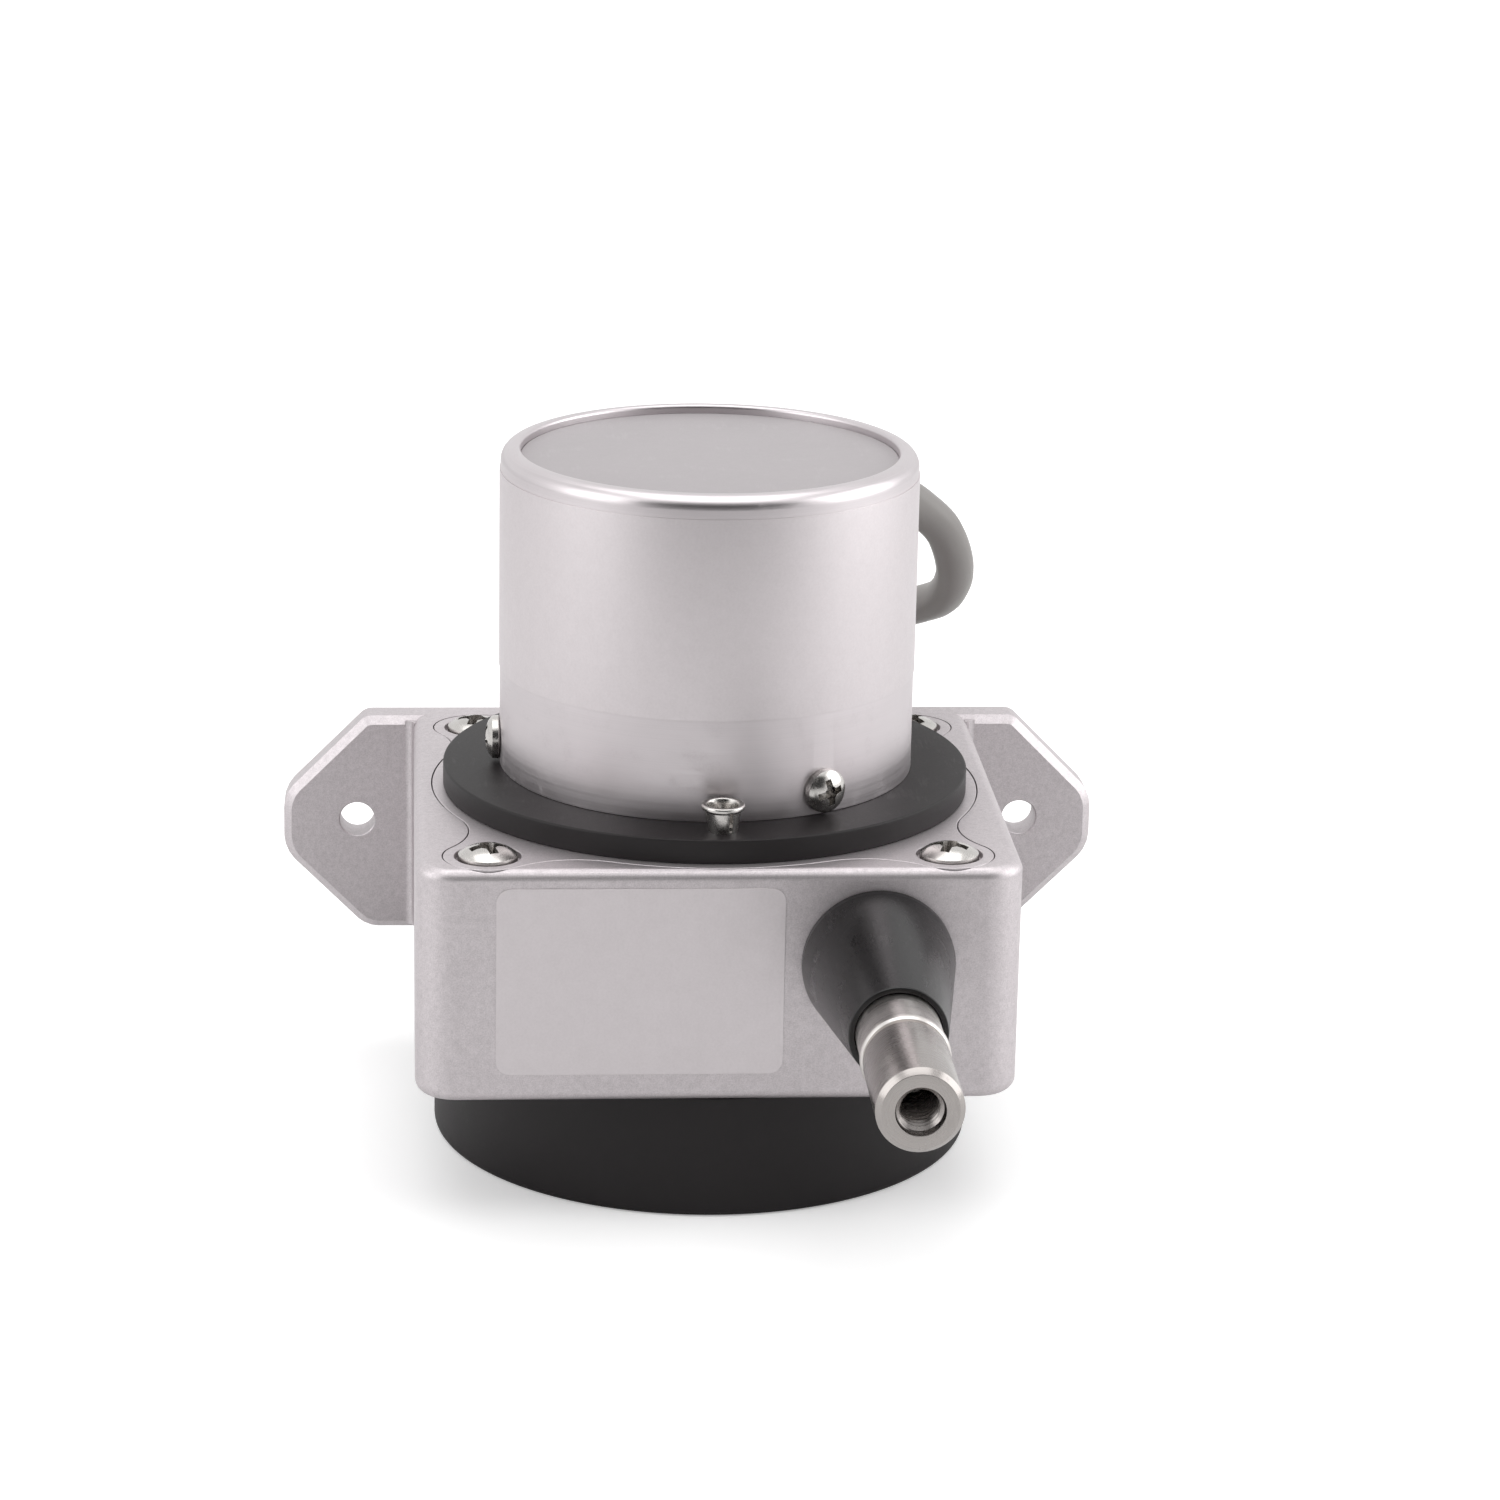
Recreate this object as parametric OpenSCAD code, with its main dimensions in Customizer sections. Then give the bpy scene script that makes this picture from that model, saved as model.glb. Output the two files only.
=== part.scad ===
// Draw wire displacement sensor: a die-cast box with a wall flange carries a
// spring-wound measuring drum. The drum's wire leaves through a rubber boot at
// the front and ends in a swivelling threaded fitting. A potentiometer in the
// can on top counts the drum's turns, and a cable leaves the can at the back.
// +X right, +Y towards the wall flange, +Z up. The origin is on the drum's
// axis, at the flat bottom of the spring cup. Millimetres.

/* [Body] */
// Width of the die-cast body
body_w = 80; // [76:0.5:84]
// Distance from the drum axis to the front face
body_front = 38.6; // [38:0.1:40]
// Distance from the drum axis to the wall side
body_back = 36.4; // [36:0.1:38]
// Height of the die-cast body
body_h = 32.2; // [32:0.1:33]
// Radius of the body's upright corners
body_corner_r = 5.3; // [4:0.1:6]
// Radius of the rounding along the body's top edge
body_edge_r = 1.2; // [0.8:0.1:1.5]
// Radius of the rounding along the body's foot
body_foot_r = 1.8; // [1.2:0.1:2.2]

/* [Wall flange] */
// Width of the flange over both ears
ear_span = 117.4; // [116:0.1:120]
// Height of the flange
ear_h = 32; // [30:0.1:32]
// Thickness of the flange
ear_t = 5.1; // [4.8:0.1:5.5]
// Cut of the ears' sloping corners
ear_corner = 11.8; // [11:0.1:12.5]
// Rounding at the ears' outer corners
ear_round = 5; // [4:0.1:6]
// Width of the bevel along the front edge of the ears
ear_bevel = 1.1; // [0.8:0.1:1.4]
// Distance between the two mounting holes
hole_spacing = 96.3; // [95:0.1:98]
// Height of the mounting holes under the body's top
hole_drop = 15.3; // [14.8:0.1:16.2]
// Diameter of the mounting holes
hole_d = 5; // [4.5:0.1:5.5]

/* [Lid] */
// Radius of the lid's round part
lid_r = 37.5; // [37:0.1:37.8]
// Thickness of the lid
lid_t = 3; // [2.5:0.1:3.5]
// Radius of the lid's four screw lobes
lobe_r = 5.9; // [5.5:0.1:6.2]
// Sideways distance from the axis to the front lid screws
screw_x = 30.4; // [30:0.1:31]
// Sideways distance from the axis to the rear lid screws
rear_screw_x = 31.2; // [30.5:0.1:31.6]
// Distance from the axis to the front lid screws
screw_front = 32; // [31.5:0.1:32.2]
// Distance from the axis to the rear lid screws
screw_back = 26.5; // [25.5:0.1:27]

/* [Sensor can] */
// Radius of the black flange under the can
flange_r = 36; // [35:0.1:36.5]
// Thickness of the black flange
flange_t = 3.3; // [3:0.1:4]
// Outer radius of the can
can_r = 28.3; // [28:0.1:28.5]
// Height of the can
can_h = 44.1; // [43.5:0.1:45]
// Radius of the rounding along the can's top edge
can_edge_r = 1.5; // [1:0.1:2]
// Wall of the can
can_wall = 1.2; // [1:0.1:1.3]
// Radius of the recessed disc in the can's top
cap_r = 25.6; // [25:0.1:26]
// Direction of the first side screw, from the front towards +X
can_screw_turn = 30; // [25:1:35]

/* [Spring cup] */
// Outer radius of the spring cup
cup_r = 37.2; // [37:0.1:37.8]
// Height of the spring cup
cup_h = 17; // [16.5:0.1:18]
// Wall of the spring cup
cup_wall = 2.2; // [2:0.1:2.5]

/* [Drum and wire] */
// Radius at the centre of the wound wire, for 130 mm of wire a turn
wire_turn_r = 20.7; // [20.6:0.01:20.8]
// Diameter of the wire rope
wire_d = 1; // [0.8:0.1:1]
// Number of turns on the drum
wire_turns = 10; // [6:1:10]
// Distance from one turn to the next
wire_pitch = 1.1; // [1.1:0.01:1.15]
// Height of the wire outlet under the body's top
outlet_drop = 12.9; // [12.5:0.1:13.2]
// Diameter of the drum shaft
shaft_d = 8; // [7:0.5:8]

/* [Boot and end fitting] */
// Radius of the boot at the body
boot_base_r = 10.1; // [9.5:0.1:10.5]
// Radius of the boot at its tip
boot_tip_r = 6.3; // [6:0.1:6.5]
// Length of the boot
boot_l = 26.8; // [25:0.1:28]
// Radius of the rear swivel ring
ring_r = 5.4; // [5.2:0.1:5.5]
// Radius of the front barrel
barrel_r = 5.5; // [5.2:0.1:5.6]
// Distance from the axis to the barrel's front end
fitting_front = 91.7; // [90:0.1:93]
// Distance from the axis to the split between ring and barrel
fitting_split = 74.6; // [74:0.1:75]

/* [Cable] */
// Diameter of the cable
cable_d = 5.5; // [5:0.1:5.5]
// Radius at the middle of the coil's turns
coil_r = 32; // [31:0.5:33]

/* [Hidden] */
$fn = 96;

top_z = cup_h + body_h;
flange_z = top_z + flange_t;
can_top = flange_z + can_h;
lid_z = top_z - lid_t;
wire_z = top_z - outlet_drop;
wire_r = wire_d / 2;
shaft_r = shaft_d / 2;
cable_r = cable_d / 2;
ear_front = body_back - ear_t;
hole_z = top_z - hole_drop;
corner_tan = tan(22.5);
can_in = can_r - can_wall;
boot_tip = body_front + boot_l;
eps = 0.01;

// Drum
turn_r = wire_turn_r;
winding_h = wire_turns * wire_pitch;
drum_low = wire_z - winding_h / 2 - 1.2;
drum_high = wire_z + winding_h / 2 + 1.2;
drum_rim_r = 24;
chamber_r = 31.5;
chamber_floor = cup_h + 3.5;

// Ball bearings: outer radius, width and the height of the lower face
small_r = 8;
small_w = 5;
small_z = top_z - small_w;
big_r = 11;
big_w = 7;
big_z = cup_h + 2.2;
bearing_gap = 0.05;

// Sensor stage
spigot_r = can_in - 0.05;
spigot_in = 23.4;
spigot_h = 6.6;
can_screw_z = flange_z + 3.3;
can_recess = 1.5;
can_inner_top = can_top - 2.6;
lock_at = [0.4, -31.8];
lock_seat = 2.4;
plate_t = 2;
plate_z = flange_z + 14.5;
pot_z = plate_z + plate_t;
pot_r = 11.1;
pot_h = 22;
pot_shaft_r = 3.18;
post_r = 3.4;
post_at = 19.6;
board_y = 14.5;
board_t = 1.6;
board_w = 24;
board_h = 20;

// Spring
arbor_r = 7;
spring_low = 4.2;
spring_w = 10;
spring_t = 0.35;
spring_turns = 12;
spring_steps = 20;
spring_out = 26;
spring_gap = 0.2;
seal_in = 35.6;
seal_out = 36.6;
seal_t = 0.8;

// Cable route, from the can down to the coil behind the body
cable_turn = 50;
cable_out_z = 86.8;
ROUTE = [
    [18.4, 15.4, 86.8], [21.5, 18, 86.8], [24.4, 20.5, 86.2], [28.2, 23.8, 84.4], [31.9, 27, 81.4],
    [35.7, 29.8, 77.2], [37.9, 34, 70.7], [37.1, 39, 65.5], [34, 44, 62.6], [29, 47.8, 60.2],
    [22.5, 50, 56.2], [15, 50.8, 50], [6.5, 50, 41.5], [-3, 48.6, 32], [-12.5, 49, 23],
    [-21, 53.2, 16.8], [-27, 61, 14], [-29.4, 70, 13], [-29.4, 77, 11.4]];
TAIL = [[26.4, 66.5, 2.8], [20.6, 58.8, 2.8], [11.6, 54.6, 2.8], [1.5, 54.2, 2.8],
    [-8.4, 57.4, 2.8], [-15.4, 64.4, 2.8], [-17.4, 74, 2.8], [-14.4, 83.6, 2.8], [-6.6, 88.6, 2.8],
    [1.6, 87, 2.8]];
coil_y = 77;
lead_r = 0.7;
// Each lead's way on from the sheath, along it and sideways, and its last heights over the table
FAN = [[-0.6, 1.1], [1, 1.1], [5, 2.2], [9, 4.4], [14, 7]];
fan_z = [2.2, 1, lead_r];

// A point, or the direction, on a smooth curve through the points of a list
function at(p, i) = p[max(0, min(len(p) - 1, i))];
function smooth(p, i, t) = let (a = at(p, i - 1), b = at(p, i), c = at(p, i + 1), d = at(p, i + 2))
    0.5 * (2 * b + (c - a) * t + (2 * a - 5 * b + 4 * c - d) * t * t
    + (3 * b - a - 3 * c + d) * t * t * t);
function path(p, n) = [for (i = [0:len(p) - 2], k = [0:n - 1]) smooth(p, i, k / n), p[len(p) - 1]];
function unit(v) = v / norm(v);
function along(p, i) = unit(p[min(i + 1, len(p) - 1)] - p[max(i - 1, 0)]);
function side_of(t) = unit(cross(t, abs(t[2]) > 0.9 ? [1, 0, 0] : [0, 0, 1]));

// A round tube swept along the points of a list
module swept(p, r, sides) {
    rings = [for (i = [0:len(p) - 1]) let (t = along(p, i), s = side_of(t), u = cross(s, t))
        [for (k = [0:sides - 1]) p[i] + r * (cos(360 * k / sides) * s + sin(360 * k / sides) * u)]];
    n = len(p);
    polyhedron(
        points = [for (ring = rings) each ring],
        faces = concat(
            [[for (k = [0:sides - 1]) k]],
            [for (i = [0:n - 2], k = [0:sides - 1]) let (a = i * sides, b = (k + 1) % sides)
                [a + k, a + sides + k, a + sides + b, a + b]],
            [[for (k = [sides - 1:-1:0]) (n - 1) * sides + k]]),
        convexity = 10);
}

// A rectangle about the origin with true round corners
module round_rect(w, h, r) {
    square([w - 2 * r, h], center = true);
    square([w, h - 2 * r], center = true);
    for (x = [-1, 1], y = [-1, 1]) translate([x * (w / 2 - r), y * (h / 2 - r)]) circle(r);
}

// A ring of rectangular section about the z axis
module ring(r_in, r_out, z0, h) {
    translate([0, 0, z0]) difference() {
        cylinder(r = r_out, h = h);
        translate([0, 0, -1]) cylinder(r = r_in, h = h + 2);
    }
}

// Turns a child that stands on +z so that it points to -y, at the wire outlet
module at_outlet(y) {
    translate([turn_r, -y, wire_z]) rotate([90, 0, 0]) children();
}

// Turns a child that stands on +z so that it points outwards at an angle from the front
module outwards(turn, r, z) {
    rotate([0, 0, turn - 90]) translate([r, 0, z]) rotate([0, 90, 0]) children();
}

// A cross recess for a screw head whose top is at z = 0
module cross_recess(w, depth) {
    for (a = [0, 90]) rotate([0, 0, a]) translate([-w / 2, -w / 8, -depth]) cube([w, w / 4, depth + 1]);
    translate([0, 0, -depth * 1.2]) cylinder(r1 = w / 8, r2 = w / 4, h = depth * 1.2 + eps);
}

// A pan head screw: the head's underside is at z = 0 and the shank points to -z
module pan_screw(head_r, head_h, shank_r, length) {
    round_r = min(head_h * 0.6, head_r * 0.5);
    difference() {
        union() {
            rotate_extrude() {
                square([head_r - round_r, head_h]);
                square([head_r, head_h - round_r]);
                intersection() {
                    translate([head_r - round_r, head_h - round_r]) circle(round_r);
                    square([head_r + 1, head_h + 1]);
                }
            }
            translate([0, 0, -length]) cylinder(r = shank_r, h = length + eps);
        }
        translate([0, 0, head_h]) cross_recess(head_r * 1.45, head_h * 0.7);
    }
}

// A countersunk screw: its flat top is at z = 0 and the shank points to -z
module flat_screw(head_r, shank_r, length) {
    cone = head_r - shank_r;
    difference() {
        union() {
            translate([0, 0, -cone]) cylinder(r1 = shank_r, r2 = head_r, h = cone);
            translate([0, 0, -length]) cylinder(r = shank_r, h = length - cone + eps);
        }
        cross_recess(head_r * 1.1, cone * 0.6);
    }
}

// ---- Body ----

module lid_places() {
    for (side = [-1, 1]) {
        translate([side * screw_x, -screw_front, 0]) children();
        translate([side * rear_screw_x, screw_back, 0]) children();
    }
}

// Points on an arc about c, from angle a to angle b
function arc(c, r, a, b, n = 12) = [for (k = [0:n]) let (t = a + (b - a) * k / n) c + r * [cos(t), sin(t)]];
function turned(a, b) = b < a ? turned(a, b + 360) : b;

// The centre of the hollow arc between the lid's circle and a lobe centred on b
function hollow_at(b, r, big, small, side) = let (d = norm(b), p = big + r, q = small + r,
    a = (p * p - q * q + d * d) / (2 * d), h = sqrt(p * p - a * a), u = b / d)
    a * u + side * h * [-u[1], u[0]];
function bearing(v) = atan2(v[1], v[0]);

// Half of the lid's outline, from the rear edge round to the front, on the +x side. The lid is
// round with a lobe for each screw, and straight along the wall flange.
function lid_half(grow) = let (
    big = lid_r + grow, small = lobe_r + grow, r = 12 - grow,
    back = [rear_screw_x, screw_back], front = [screw_x, -screw_front],
    m = hollow_at(back, r, big, small, -1), w = hollow_at(front, r, big, small, 1),
    v = hollow_at(front, r, big, small, -1))
    concat(
        arc([0, 0], big, -90, bearing(v), 16),
        arc(v, r, turned(bearing(front - v), bearing(-v)), bearing(front - v), 10),
        arc(front, small, bearing(v - front), turned(bearing(v - front), bearing(w - front)), 28),
        arc(w, r, turned(bearing(-w), bearing(front - w)), bearing(-w), 10),
        arc([0, 0], big, bearing(w), bearing(m), 16),
        arc(m, r, turned(bearing(back - m), bearing(-m)), bearing(back - m), 10),
        arc(back, small, bearing(m - back), 90, 16));

module lid_outline(grow) {
    half = lid_half(grow);
    polygon(concat(half, [for (k = [len(half) - 1:-1:1]) [-half[k][0], half[k][1]]]));
}

// The body seen from one side: a small rounding along the top and a larger one along the foot
module body_section(w) {
    mid = body_h / 2;
    translate([-w / 2, body_foot_r]) square([w, body_h - body_foot_r - body_edge_r]);
    translate([body_edge_r - w / 2, mid]) square([w - 2 * body_edge_r, mid]);
    translate([body_foot_r - w / 2, 0]) square([w - 2 * body_foot_r, mid + eps]);
    for (x = [-1, 1]) {
        translate([x * (w / 2 - body_edge_r), body_h - body_edge_r]) circle(body_edge_r);
        translate([x * (w / 2 - body_foot_r), body_foot_r]) circle(body_foot_r);
    }
}

module body_block() {
    depth = body_front + body_back;
    mid_y = (body_back - body_front) / 2;
    intersection() {
        translate([0, mid_y, cup_h]) linear_extrude(body_h) round_rect(body_w, depth, body_corner_r);
        translate([0, mid_y + depth, cup_h]) rotate([90, 0, 0])
            linear_extrude(2 * depth) body_section(body_w);
        translate([-body_w, mid_y, cup_h]) rotate([90, 0, 90])
            linear_extrude(2 * body_w) body_section(depth);
    }
}

// The flange seen from the front, with its long sides along x and its lower side at z = 0. Each
// circle touches the two sides that meet at its corner.
module ear_outline(inset) {
    w = ear_span / 2 - inset;
    low = inset;
    high = ear_h - inset;
    c = ear_corner - inset * (2 - sqrt(2));
    side_r = ear_round - inset / 2;
    low_r = 4 - inset / 2;
    high_r = 2 - inset / 2;
    hull() for (x = [-1, 1]) {
        for (z = [low + c + corner_tan * side_r, high - c - corner_tan * side_r])
            translate([x * (w - side_r), z]) circle(side_r, $fn = 32);
        translate([x * (w - c - corner_tan * low_r), low + low_r]) circle(low_r, $fn = 32);
        translate([x * (w - c - corner_tan * high_r), high - high_r]) circle(high_r, $fn = 32);
    }
}

module wall_flange() {
    translate([0, body_back, top_z - ear_h]) rotate([90, 0, 0]) hull() {
        linear_extrude(ear_t - ear_bevel) ear_outline(0);
        linear_extrude(ear_t) ear_outline(ear_bevel);
    }
}

// The hollow fillet between an ear and the body's side
module ear_fillet(x) {
    r = 1.2;
    translate([x * body_w / 2, ear_front, top_z - ear_h + ear_bevel])
        mirror([x < 0 ? 1 : 0, 0, 0]) linear_extrude(ear_h - 2 * ear_bevel) difference() {
            translate([-eps, -r]) square([r, r + eps]);
            translate([r, -r]) circle(r);
        }
}

module housing() {
    color([0.74, 0.73, 0.73]) difference() {
        union() {
            body_block();
            wall_flange();
            for (x = [-1, 1]) ear_fillet(x);
        }
        // Mounting holes
        for (x = [-1, 1]) translate([x * hole_spacing / 2, body_back + 1, hole_z]) rotate([90, 0, 0])
            cylinder(d = hole_d, h = ear_t + 2);
        // Seat of the lid, and the drum chamber under it with its bearing boss
        translate([0, 0, lid_z - 0.5]) linear_extrude(lid_t + 1) lid_outline(0.15);
        difference() {
            translate([0, 0, chamber_floor]) cylinder(r = chamber_r, h = body_h);
            translate([0, 0, chamber_floor - 1]) cylinder(r = 14, h = big_z + big_w - chamber_floor + 1.3);
        }
        translate([0, 0, big_z]) cylinder(r = big_r, h = body_h);
        translate([0, 0, cup_h - 1]) cylinder(r = 8.6, h = body_h);
        // Threads of the lid screws, the cup screws and the wire outlet
        lid_places() translate([0, 0, lid_z - 14]) cylinder(r = 2, h = 15);
        cup_places() translate([0, 0, cup_h - 1]) cylinder(r = 1.5, h = 4);
        at_outlet(20) cylinder(r = 4, h = body_front);
        at_outlet(body_front - 5) cylinder(r = 6, h = 10);
    }
}

module lid() {
    color([0.76, 0.75, 0.75]) difference() {
        union() {
            translate([0, 0, lid_z]) linear_extrude(lid_t) lid_outline(0);
            translate([0, 0, small_z - 0.6]) cylinder(r = 13, h = 3);
        }
        translate([0, 0, small_z]) cylinder(r = small_r, h = 9);
        translate([0, 0, small_z - 2]) cylinder(r = 6.6, h = 9);
        lid_places() {
            translate([0, 0, lid_z - 1]) cylinder(r = 2.2, h = 9);
            translate([0, 0, top_z - 0.9]) cylinder(r = 4.4, h = 9);
        }
        flange_screw_places() translate([0, 0, lid_z - 1]) cylinder(r = 1.5, h = 9);
    }
}

module lid_gasket() {
    color([0.15, 0.15, 0.15]) difference() {
        translate([0, 0, lid_z - 0.5]) linear_extrude(0.5) lid_outline(0);
        translate([0, 0, lid_z - 2]) cylinder(r = chamber_r, h = 9);
        lid_places() translate([0, 0, lid_z - 2]) cylinder(r = 2.3, h = 9);
    }
}

module lid_screws() {
    color([0.8, 0.8, 0.8]) lid_places() translate([0, 0, top_z - 0.9]) pan_screw(4, 2.4, 2, 12);
}

module front_label() {
    w = 37.8;
    h = 25.8;
    color([0.8, 0.8, 0.8]) translate([-10.5, -body_front, top_z - 15.3]) rotate([90, 0, 0])
        linear_extrude(0.12) round_rect(w, h, 1.9);
}

// ---- Sensor stage ----

module flange_screw_places() {
    for (a = [90:120:330]) rotate([0, 0, a]) translate([post_at, 0, 0]) children();
}

module post_places() {
    for (a = [30:120:270]) rotate([0, 0, a]) translate([post_at, 0, 0]) children();
}

module sensor_flange() {
    color([0.2, 0.19, 0.19]) difference() {
        union() {
            translate([0, 0, top_z]) cylinder(r = flange_r, h = flange_t);
            ring(spigot_in, spigot_r, flange_z - eps, spigot_h);
        }
        translate([0, 0, top_z - 1]) cylinder(r = 11, h = 9);
        flange_screw_places() {
            translate([0, 0, top_z - 1]) cylinder(r = 1.6, h = 9);
            translate([0, 0, flange_z - 1.6]) cylinder(r1 = 1.5, r2 = 3.1 + 0.5, h = 2.1);
        }
        post_places() translate([0, 0, top_z - 1]) cylinder(r = 1.5, h = 9);
        for (a = [0:120:240]) outwards(can_screw_turn + a, spigot_in - 2, can_screw_z)
            cylinder(r = 1.5, h = 9);
        translate([lock_at[0], lock_at[1], flange_z - lock_seat]) cylinder(r = 1.5, h = 9);
    }
}

module flange_screws() {
    color([0.8, 0.8, 0.8]) flange_screw_places() translate([0, 0, flange_z]) flat_screw(3, 1.5, 6);
}

// A split conical clamp pin with a rolled rim, beside the can
module lock_screw() {
    color([0.8, 0.79, 0.77]) translate([lock_at[0], lock_at[1], flange_z]) difference() {
        union() {
            translate([0, 0, -lock_seat]) cylinder(r = 1.5, h = lock_seat + eps);
            cylinder(r1 = 1.9, r2 = 2.45, h = 2.9);
            translate([0, 0, 2.9 - eps]) cylinder(r1 = 2.45, r2 = 2.9, h = 0.4);
            translate([0, 0, 3.3 - eps]) cylinder(r = 2.9, h = 0.5);
        }
        translate([0, 0, 1]) cylinder(r1 = 1.3, r2 = 2.1, h = 3);
        translate([0.7, -3, 0.3]) cube([0.5, 2.4, 2.7]);
    }
}

module sensor_can() {
    rim_r = 0.5;
    color([0.8, 0.79, 0.79]) difference() {
        rotate_extrude() {
            translate([0, flange_z]) square([can_r, can_h - can_edge_r]);
            translate([0, flange_z]) square([can_r - can_edge_r, can_h]);
            translate([can_r - can_edge_r, can_top - can_edge_r]) circle(can_edge_r);
        }
        translate([0, 0, flange_z - 1]) cylinder(r = can_in, h = can_inner_top - flange_z + 1);
        translate([0, 0, can_top - can_recess]) cylinder(r = cap_r, h = 2);
        translate([0, 0, can_top - rim_r]) rotate_extrude() difference() {
            translate([cap_r - rim_r, 0]) square(2 * rim_r);
            translate([cap_r + rim_r, 0]) circle(rim_r);
        }
        for (a = [0:120:240]) outwards(can_screw_turn + a, can_in - 1, can_screw_z) cylinder(r = 1.65, h = 4);
        cable_axis(can_in - 1) cylinder(r = 4.3, h = 4);
    }
}

module can_label() {
    color([0.84, 0.83, 0.83]) difference() {
        ring(can_r, can_r + 0.12, top_z + 17.2, 27.2);
        cable_axis(can_r - 1) cylinder(r = 5.6, h = 4);
    }
}

module can_cap() {
    color([0.76, 0.76, 0.76]) translate([0, 0, can_top - can_recess]) cylinder(r = cap_r - 0.05, h = 0.3);
}

module can_screws() {
    color([0.8, 0.8, 0.8]) for (a = [0:120:240])
        outwards(can_screw_turn + a, can_r, can_screw_z) pan_screw(3, 2, 1.5, 4.6);
}

module sensor_bracket() {
    color([0.7, 0.7, 0.72]) difference() {
        union() {
            translate([0, 0, plate_z]) cylinder(r = 25.5, h = plate_t);
            post_places() translate([0, 0, flange_z]) cylinder(r = post_r, h = plate_z - flange_z + eps);
            for (x = [-8, 8]) translate([x - 2, board_y + board_t, pot_z - eps]) cube([4, 3, 5]);
        }
        translate([0, 0, plate_z - 1]) cylinder(r = 4.8, h = 9);
        post_places() translate([0, 0, flange_z - 1]) cylinder(r = 1.6, h = 40);
    }
}

module bracket_screws() {
    color([0.8, 0.8, 0.8]) post_places() translate([0, 0, pot_z])
        pan_screw(2.75, 1.8, 1.5, plate_z + plate_t - top_z - 0.4);
}

module pot_housing() {
    color([0.15, 0.3, 0.5]) difference() {
        translate([0, 0, pot_z]) cylinder(r = pot_r, h = pot_h);
        translate([0, 0, pot_z - 1]) cylinder(r = 9.6, h = pot_h - 0.4);
    }
}

module pot_bushing() {
    color([0.75, 0.65, 0.4]) difference() {
        union() {
            translate([0, 0, pot_z - 5]) cylinder(r = 4.75, h = 5 + eps);
            translate([0, 0, pot_z]) cylinder(r = 9.55, h = 2);
        }
        translate([0, 0, pot_z - 9]) cylinder(r = pot_shaft_r + 0.05, h = 20);
    }
}

module pot_nut() {
    color([0.75, 0.75, 0.75]) difference() {
        translate([0, 0, plate_z - 2.4]) cylinder(r = 7, h = 2.4, $fn = 6);
        translate([0, 0, plate_z - 4]) cylinder(r = 4.76, h = 9);
    }
}

// The ten turns of the resistance track on the inside of the potentiometer
module pot_element() {
    color([0.35, 0.2, 0.12]) for (k = [0:9])
        translate([0, 0, pot_z + 4 + 1.6 * k]) rotate_extrude() translate([8.9, 0]) circle(0.6);
}

module circuit_board() {
    color([0.1, 0.35, 0.2]) translate([-board_w / 2, board_y, pot_z]) cube([board_w, board_t, board_h]);
}

// Terminal block and the larger parts on the board's outer face
module board_parts() {
    out_y = board_y + board_t;
    color([0.2, 0.2, 0.2]) {
        translate([-6, out_y, pot_z + 10]) cube([12, 6, 8]);
        translate([-10.5, out_y, pot_z + 7]) cube([3.5, 1.6, 5]);
        translate([7.5, out_y, pot_z + 7]) cube([3, 1.2, 4]);
        translate([-3, out_y, pot_z + 6]) cube([6, 1.5, 3]);
    }
}

// ---- Bearings ----

module outer_ring(r_out, z, w, in_r, ball_r, mid_r) {
    difference() {
        ring(in_r, r_out, z, w);
        translate([0, 0, z + w / 2]) rotate_extrude() translate([mid_r, 0]) circle(ball_r + bearing_gap);
    }
}

module upper_bearing() {
    color([0.7, 0.7, 0.72]) outer_ring(small_r, small_z, small_w, 6.6, 1, 6);
}

module lower_bearing() {
    color([0.7, 0.7, 0.72]) outer_ring(big_r, big_z, big_w, 8.8, 1.7, 7.7);
}

module upper_balls() {
    color([0.85, 0.85, 0.86]) for (a = [0:40:320]) rotate([0, 0, a])
        translate([6, 0, small_z + small_w / 2]) sphere(1, $fn = 24);
}

module lower_balls() {
    color([0.85, 0.85, 0.86]) for (a = [0:51.42857:359]) rotate([0, 0, a])
        translate([7.7, 0, big_z + big_w / 2]) sphere(1.7, $fn = 24);
}

module inner_ring(z, w, out_r, ball_r, mid_r) {
    difference() {
        ring(shaft_r, out_r, z, w);
        translate([0, 0, z + w / 2]) rotate_extrude() translate([mid_r, 0]) circle(ball_r + bearing_gap);
    }
}

module upper_inner_ring() {
    color([0.7, 0.7, 0.72]) inner_ring(small_z, small_w, 5.3, 1, 6);
}

module lower_inner_ring() {
    color([0.7, 0.7, 0.72]) inner_ring(big_z, big_w, 6.5, 1.7, 7.7);
}

// ---- Spring cup ----

module cup_places() {
    for (a = [45:90:315]) rotate([0, 0, a]) translate([31.4, 0, 0]) children();
}

module spring_cup() {
    edge_r = 1;
    color([0.17, 0.16, 0.16]) difference() {
        union() {
            difference() {
                rotate_extrude() {
                    translate([0, edge_r]) square([cup_r, cup_h - edge_r]);
                    square([cup_r - edge_r, cup_h]);
                    translate([cup_r - edge_r, edge_r]) circle(edge_r);
                }
                translate([0, 0, cup_wall]) cylinder(r = cup_r - cup_wall, h = cup_h);
                ring(seal_in, seal_out, cup_h - seal_t, 1);
            }
            cup_places() translate([0, 0, cup_wall - eps]) cylinder(r = 3.9, h = cup_h - cup_wall - 1);
            translate([29.5, 0, cup_wall - eps]) cylinder(r = 1.6, h = 13);
        }
        cup_places() {
            translate([0, 0, -1]) cylinder(r = 1.6, h = cup_h + 2);
            translate([0, 0, -eps]) cylinder(r1 = 3.2, r2 = 1.4, h = 1.8);
        }
    }
}

module cup_seal() {
    color([0.1, 0.1, 0.1]) ring(seal_in, seal_out, cup_h - seal_t, seal_t);
}

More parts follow.
